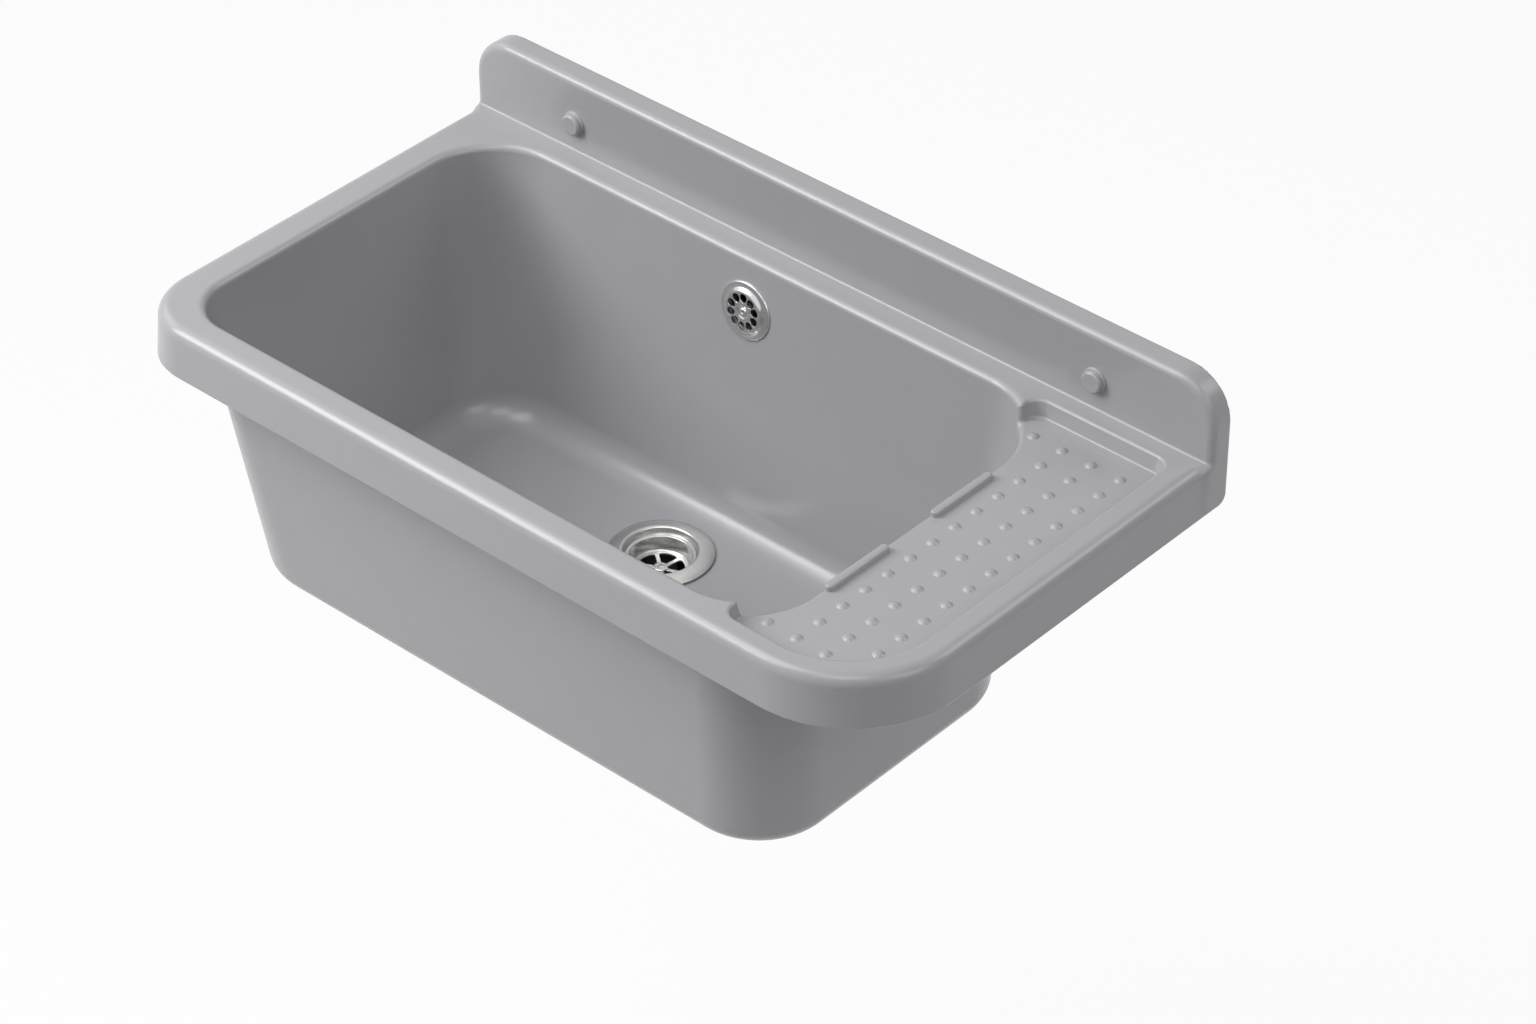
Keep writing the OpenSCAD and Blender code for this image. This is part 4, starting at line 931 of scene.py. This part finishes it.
class SINK_OT_screws(bpy.types.Operator):
    """Build the threaded wall screws and the strainer's screw"""
    bl_idname = "sink.screws"
    bl_label = "Screws"

    def execute(self, context):
        f = millimetres(context.scene.sink_fittings)
        shank, thread, head_radius, head_height, point = 2.6, 3.0, 4.6, 2.2, 7.0
        for side in ("left", "right"):
            node = "wall_screw_" + side
            low, high = box_mm(node)
            centre = (low + high) / 2
            wall_face, tip = -low[1] - head_height, high[1] - low[1] - head_height
            profile = [(shank, 0), (shank, wall_face - 0.01), (thread, wall_face), (thread, tip - point),
                       (0.4, tip)]
            shaft = threaded(profile, wall_face, f["thread_pitch"], f["thread_core"])
            head = socket_head(head_radius, head_height, 2.1, 1.1)
            origin = (centre[0], low[1] + head_height, centre[2])
            screw = merged([placed(shaft, origin, INTO_WALL), placed(head, origin, OUT_OF_WALL)])
            piece = sharpened(mesh_object(f"{node}_threaded", *screw), 45)
            dress(piece, "zinc_plate", "sink", node)
        low, high = box_mm("strainer_screw")
        centre = (low + high) / 2
        seat, plain = high[2] - 2.0, 9.0
        depth = seat - low[2]
        profile = [(thread, 0), (thread, plain), (thread, depth - 1.0), (2.3, depth)]
        shaft = threaded(profile, plain, 1.25, 2.5)
        head = socket_head(head_radius, 1.9, 2.4, 1.2)
        origin = (centre[0], centre[1], seat)
        screw = merged([placed(shaft, origin, DOWNWARDS), placed(head, origin)])
        piece = sharpened(mesh_object("strainer_screw_threaded", *screw), 45)
        dress(piece, "satin_stainless", "sink", "strainer_screw")
        return {"FINISHED"}


class SINK_OT_fittings(bpy.types.Operator):
    """Finish the seals, the nut, the clip and the waste and overflow parts under the bowl"""
    bl_idname = "sink.fittings"
    bl_label = "Fittings"

    def execute(self, context):
        for surface, nodes in (
                ("zinc_plate", ("hose_clip",)),
                ("turned_brass", ("brass_nut",)),
                ("moulded_rubber", ("flange_seal", "body_seal", "overflow_seal", "hose_washer")),
                ("black_polypropylene", ("waste_body", "overflow_elbow", "hose_nut"))):
            for node in nodes:
                finish_piece(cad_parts[node], surface)
        return {"FINISHED"}


class SINK_OT_stage(bpy.types.Operator):
    """Set the floor, the lights and the camera"""
    bl_idname = "sink.stage"
    bl_label = "Stage"

    def execute(self, context):
        scene = context.scene
        scene.view_settings.view_transform = "Standard"
        reach, floor_z = 30000, -750
        corners = [(x * reach, y * reach, floor_z) for x, y in ((-1, -1), (1, -1), (1, 1), (-1, 1))]
        floor = mesh_object("studio_floor", corners, [(0, 1, 2, 3)])
        floor.data.materials.append(pale_floor(scene.sink_finishes))
        studio_world(scene)
        # All softboxes face the bowl's middle
        aim = Vector((0.0, -0.16, -0.1))
        for name, direction, size, power in (
                ("high_softbox", (-0.4, -0.5, 1.0), 1.3, 25),
                ("front_softbox", (-0.7, -0.7, 0.6), 0.9, 25),
                ("left_softbox", (-1.0, -0.1, 0.6), 0.9, 4.6),
                ("right_softbox", (1.0, -0.1, 0.6), 0.9, 6.5),
                ("back_softbox", (0.7, 0.7, 0.8), 0.9, 7.9),
                ("high_right_softbox", (0.4, -0.5, 1.0), 0.9, 7.5)):
            soft_light(name, aim, Vector(direction), size, power)
        view_camera(scene)
        return {"FINISHED"}


def pale_floor(finishes):
    # Seamless pale paper: it shows near-white to the camera and keeps a faint shadow
    material, shader = new_material("pale_paper_floor")
    fibre_mm, fibre_shade, own_glow = 25, 0.985, 0.94
    place = add_node(material, "ShaderNodeTexCoord").outputs["Object"]
    fibre = add_node(material, "ShaderNodeTexNoise", {"Scale": 1 / (fibre_mm * MM)}, {"Vector": place})
    dark, pale = [c * fibre_shade for c in finishes.floor] + [1], [*finishes.floor, 1]
    paper = add_node(material, "ShaderNodeMix", {"data_type": "RGBA", 6: dark, 7: pale},
                     {0: fibre.outputs["Fac"]})
    shader.inputs["Roughness"].default_value = 0.9
    share = add_node(material, "ShaderNodeMath", {"operation": "MULTIPLY", 1: own_glow},
                     {0: seen_rays(material).outputs[0]})
    glow = add_node(material, "ShaderNodeEmission", {"Color": (1, 1, 1, 1), "Strength": 1.0})
    mix = add_node(material, "ShaderNodeMixShader", None,
                   {0: share.outputs[0], 1: shader.outputs[0], 2: glow.outputs[0]})
    links = material.node_tree.links
    links.new(paper.outputs[2], shader.inputs["Base Color"])
    links.new(mix.outputs[0], material.node_tree.nodes["Material Output"].inputs["Surface"])
    return material


def seen_rays(holder):
    """A value of 1 for camera, glossy and transmission rays, and 0 for the rays that light the object."""
    rays = add_node(holder, "ShaderNodeLightPath")
    first = add_node(holder, "ShaderNodeMath", {"operation": "MAXIMUM"},
                     {0: rays.outputs["Is Camera Ray"], 1: rays.outputs["Is Glossy Ray"]})
    return add_node(holder, "ShaderNodeMath", {"operation": "MAXIMUM"},
                    {0: first.outputs[0], 1: rays.outputs["Is Transmission Ray"]})


def studio_world(scene):
    """A plain surround: pale where it is seen or mirrored, and dimmer where it lights the object."""
    world = bpy.data.worlds.new("studio_surround")
    world.use_nodes = True
    scene.world = world
    background = world.node_tree.nodes["Background"]
    background.inputs["Color"].default_value = (1, 1, 1, 1)
    lit, shown = 0.03, 0.9
    level = add_node(world, "ShaderNodeMapRange", {"To Min": lit, "To Max": shown},
                     {"Value": seen_rays(world).outputs[0]})
    world.node_tree.links.new(level.outputs[0], background.inputs["Strength"])


def soft_light(name, aim, direction, size, power):
    """A square softbox in a direction from the sink, facing it."""
    distance = 2.2
    data = bpy.data.lights.new(name, "AREA")
    data.size, data.energy = size, power
    lamp = bpy.data.objects.new(name, data)
    lamp.location = aim + direction.normalized() * distance
    lamp.rotation_euler = (-direction).to_track_quat("-Z", "Y").to_euler()
    bpy.context.scene.collection.objects.link(lamp)


def view_camera(scene):
    """The photograph's view, from its fitted angles, lens and distance."""
    azimuth, elevation, roll = (math.radians(v) for v in (41.86, 37.112, -0.191))
    aim, distance, lens, sensor = Vector((45.130, -119.960, -123.062)) * MM, 2954.8 * MM, 113.27, 36
    back = Vector((math.sin(azimuth) * math.cos(elevation), -math.cos(azimuth) * math.cos(elevation),
                   math.sin(elevation)))
    level = Vector((math.cos(azimuth), math.sin(azimuth), 0))
    above = back.cross(level)
    right = math.cos(roll) * level + math.sin(roll) * above
    up = math.cos(roll) * above - math.sin(roll) * level
    data = bpy.data.cameras.new("view_camera")
    data.lens, data.sensor_width = lens, sensor
    camera = bpy.data.objects.new("view_camera", data)
    turned = Matrix((right, up, back)).transposed().to_4x4()
    camera.matrix_world = Matrix.Translation(aim + back * distance) @ turned
    scene.collection.objects.link(camera)
    scene.camera = camera


class SINK_PT_panel(bpy.types.Panel):
    """Operators and settings of the utility sink"""
    bl_idname = "SINK_PT_panel"
    bl_label = "Utility Sink"
    bl_space_type = "VIEW_3D"
    bl_region_type = "UI"
    bl_category = "Utility Sink"

    def draw(self, context):
        for operator in OPERATORS:
            self.layout.operator(operator.bl_idname)
        for group in GROUPS:
            settings = getattr(context.scene, group)
            for key in settings.__annotations__:
                self.layout.prop(settings, key)


OPERATORS = (SINK_OT_basin, SINK_OT_studs, SINK_OT_caps, SINK_OT_strainer, SINK_OT_rosette, SINK_OT_hose,
             SINK_OT_screws, SINK_OT_fittings, SINK_OT_stage)
GROUPS = {"sink_basin": BasinSizes, "sink_tray": TraySizes, "sink_fittings": FittingSizes,
          "sink_hose": HoseSizes, "sink_finishes": Finishes}


def register():
    for group in GROUPS.values():
        bpy.utils.register_class(group)
    for operator in OPERATORS:
        bpy.utils.register_class(operator)
    bpy.utils.register_class(SINK_PT_panel)
    for name, group in GROUPS.items():
        setattr(bpy.types.Scene, name, bpy.props.PointerProperty(type=group))


def unregister():
    for name in GROUPS:
        delattr(bpy.types.Scene, name)
    for kind in (SINK_PT_panel,) + OPERATORS[::-1] + tuple(GROUPS.values()):
        bpy.utils.unregister_class(kind)


def main():
    register()
    for operator in OPERATORS:
        category, name = operator.bl_idname.split(".")
        getattr(getattr(bpy.ops, category), name)()


if __name__ == "__main__":
    main()
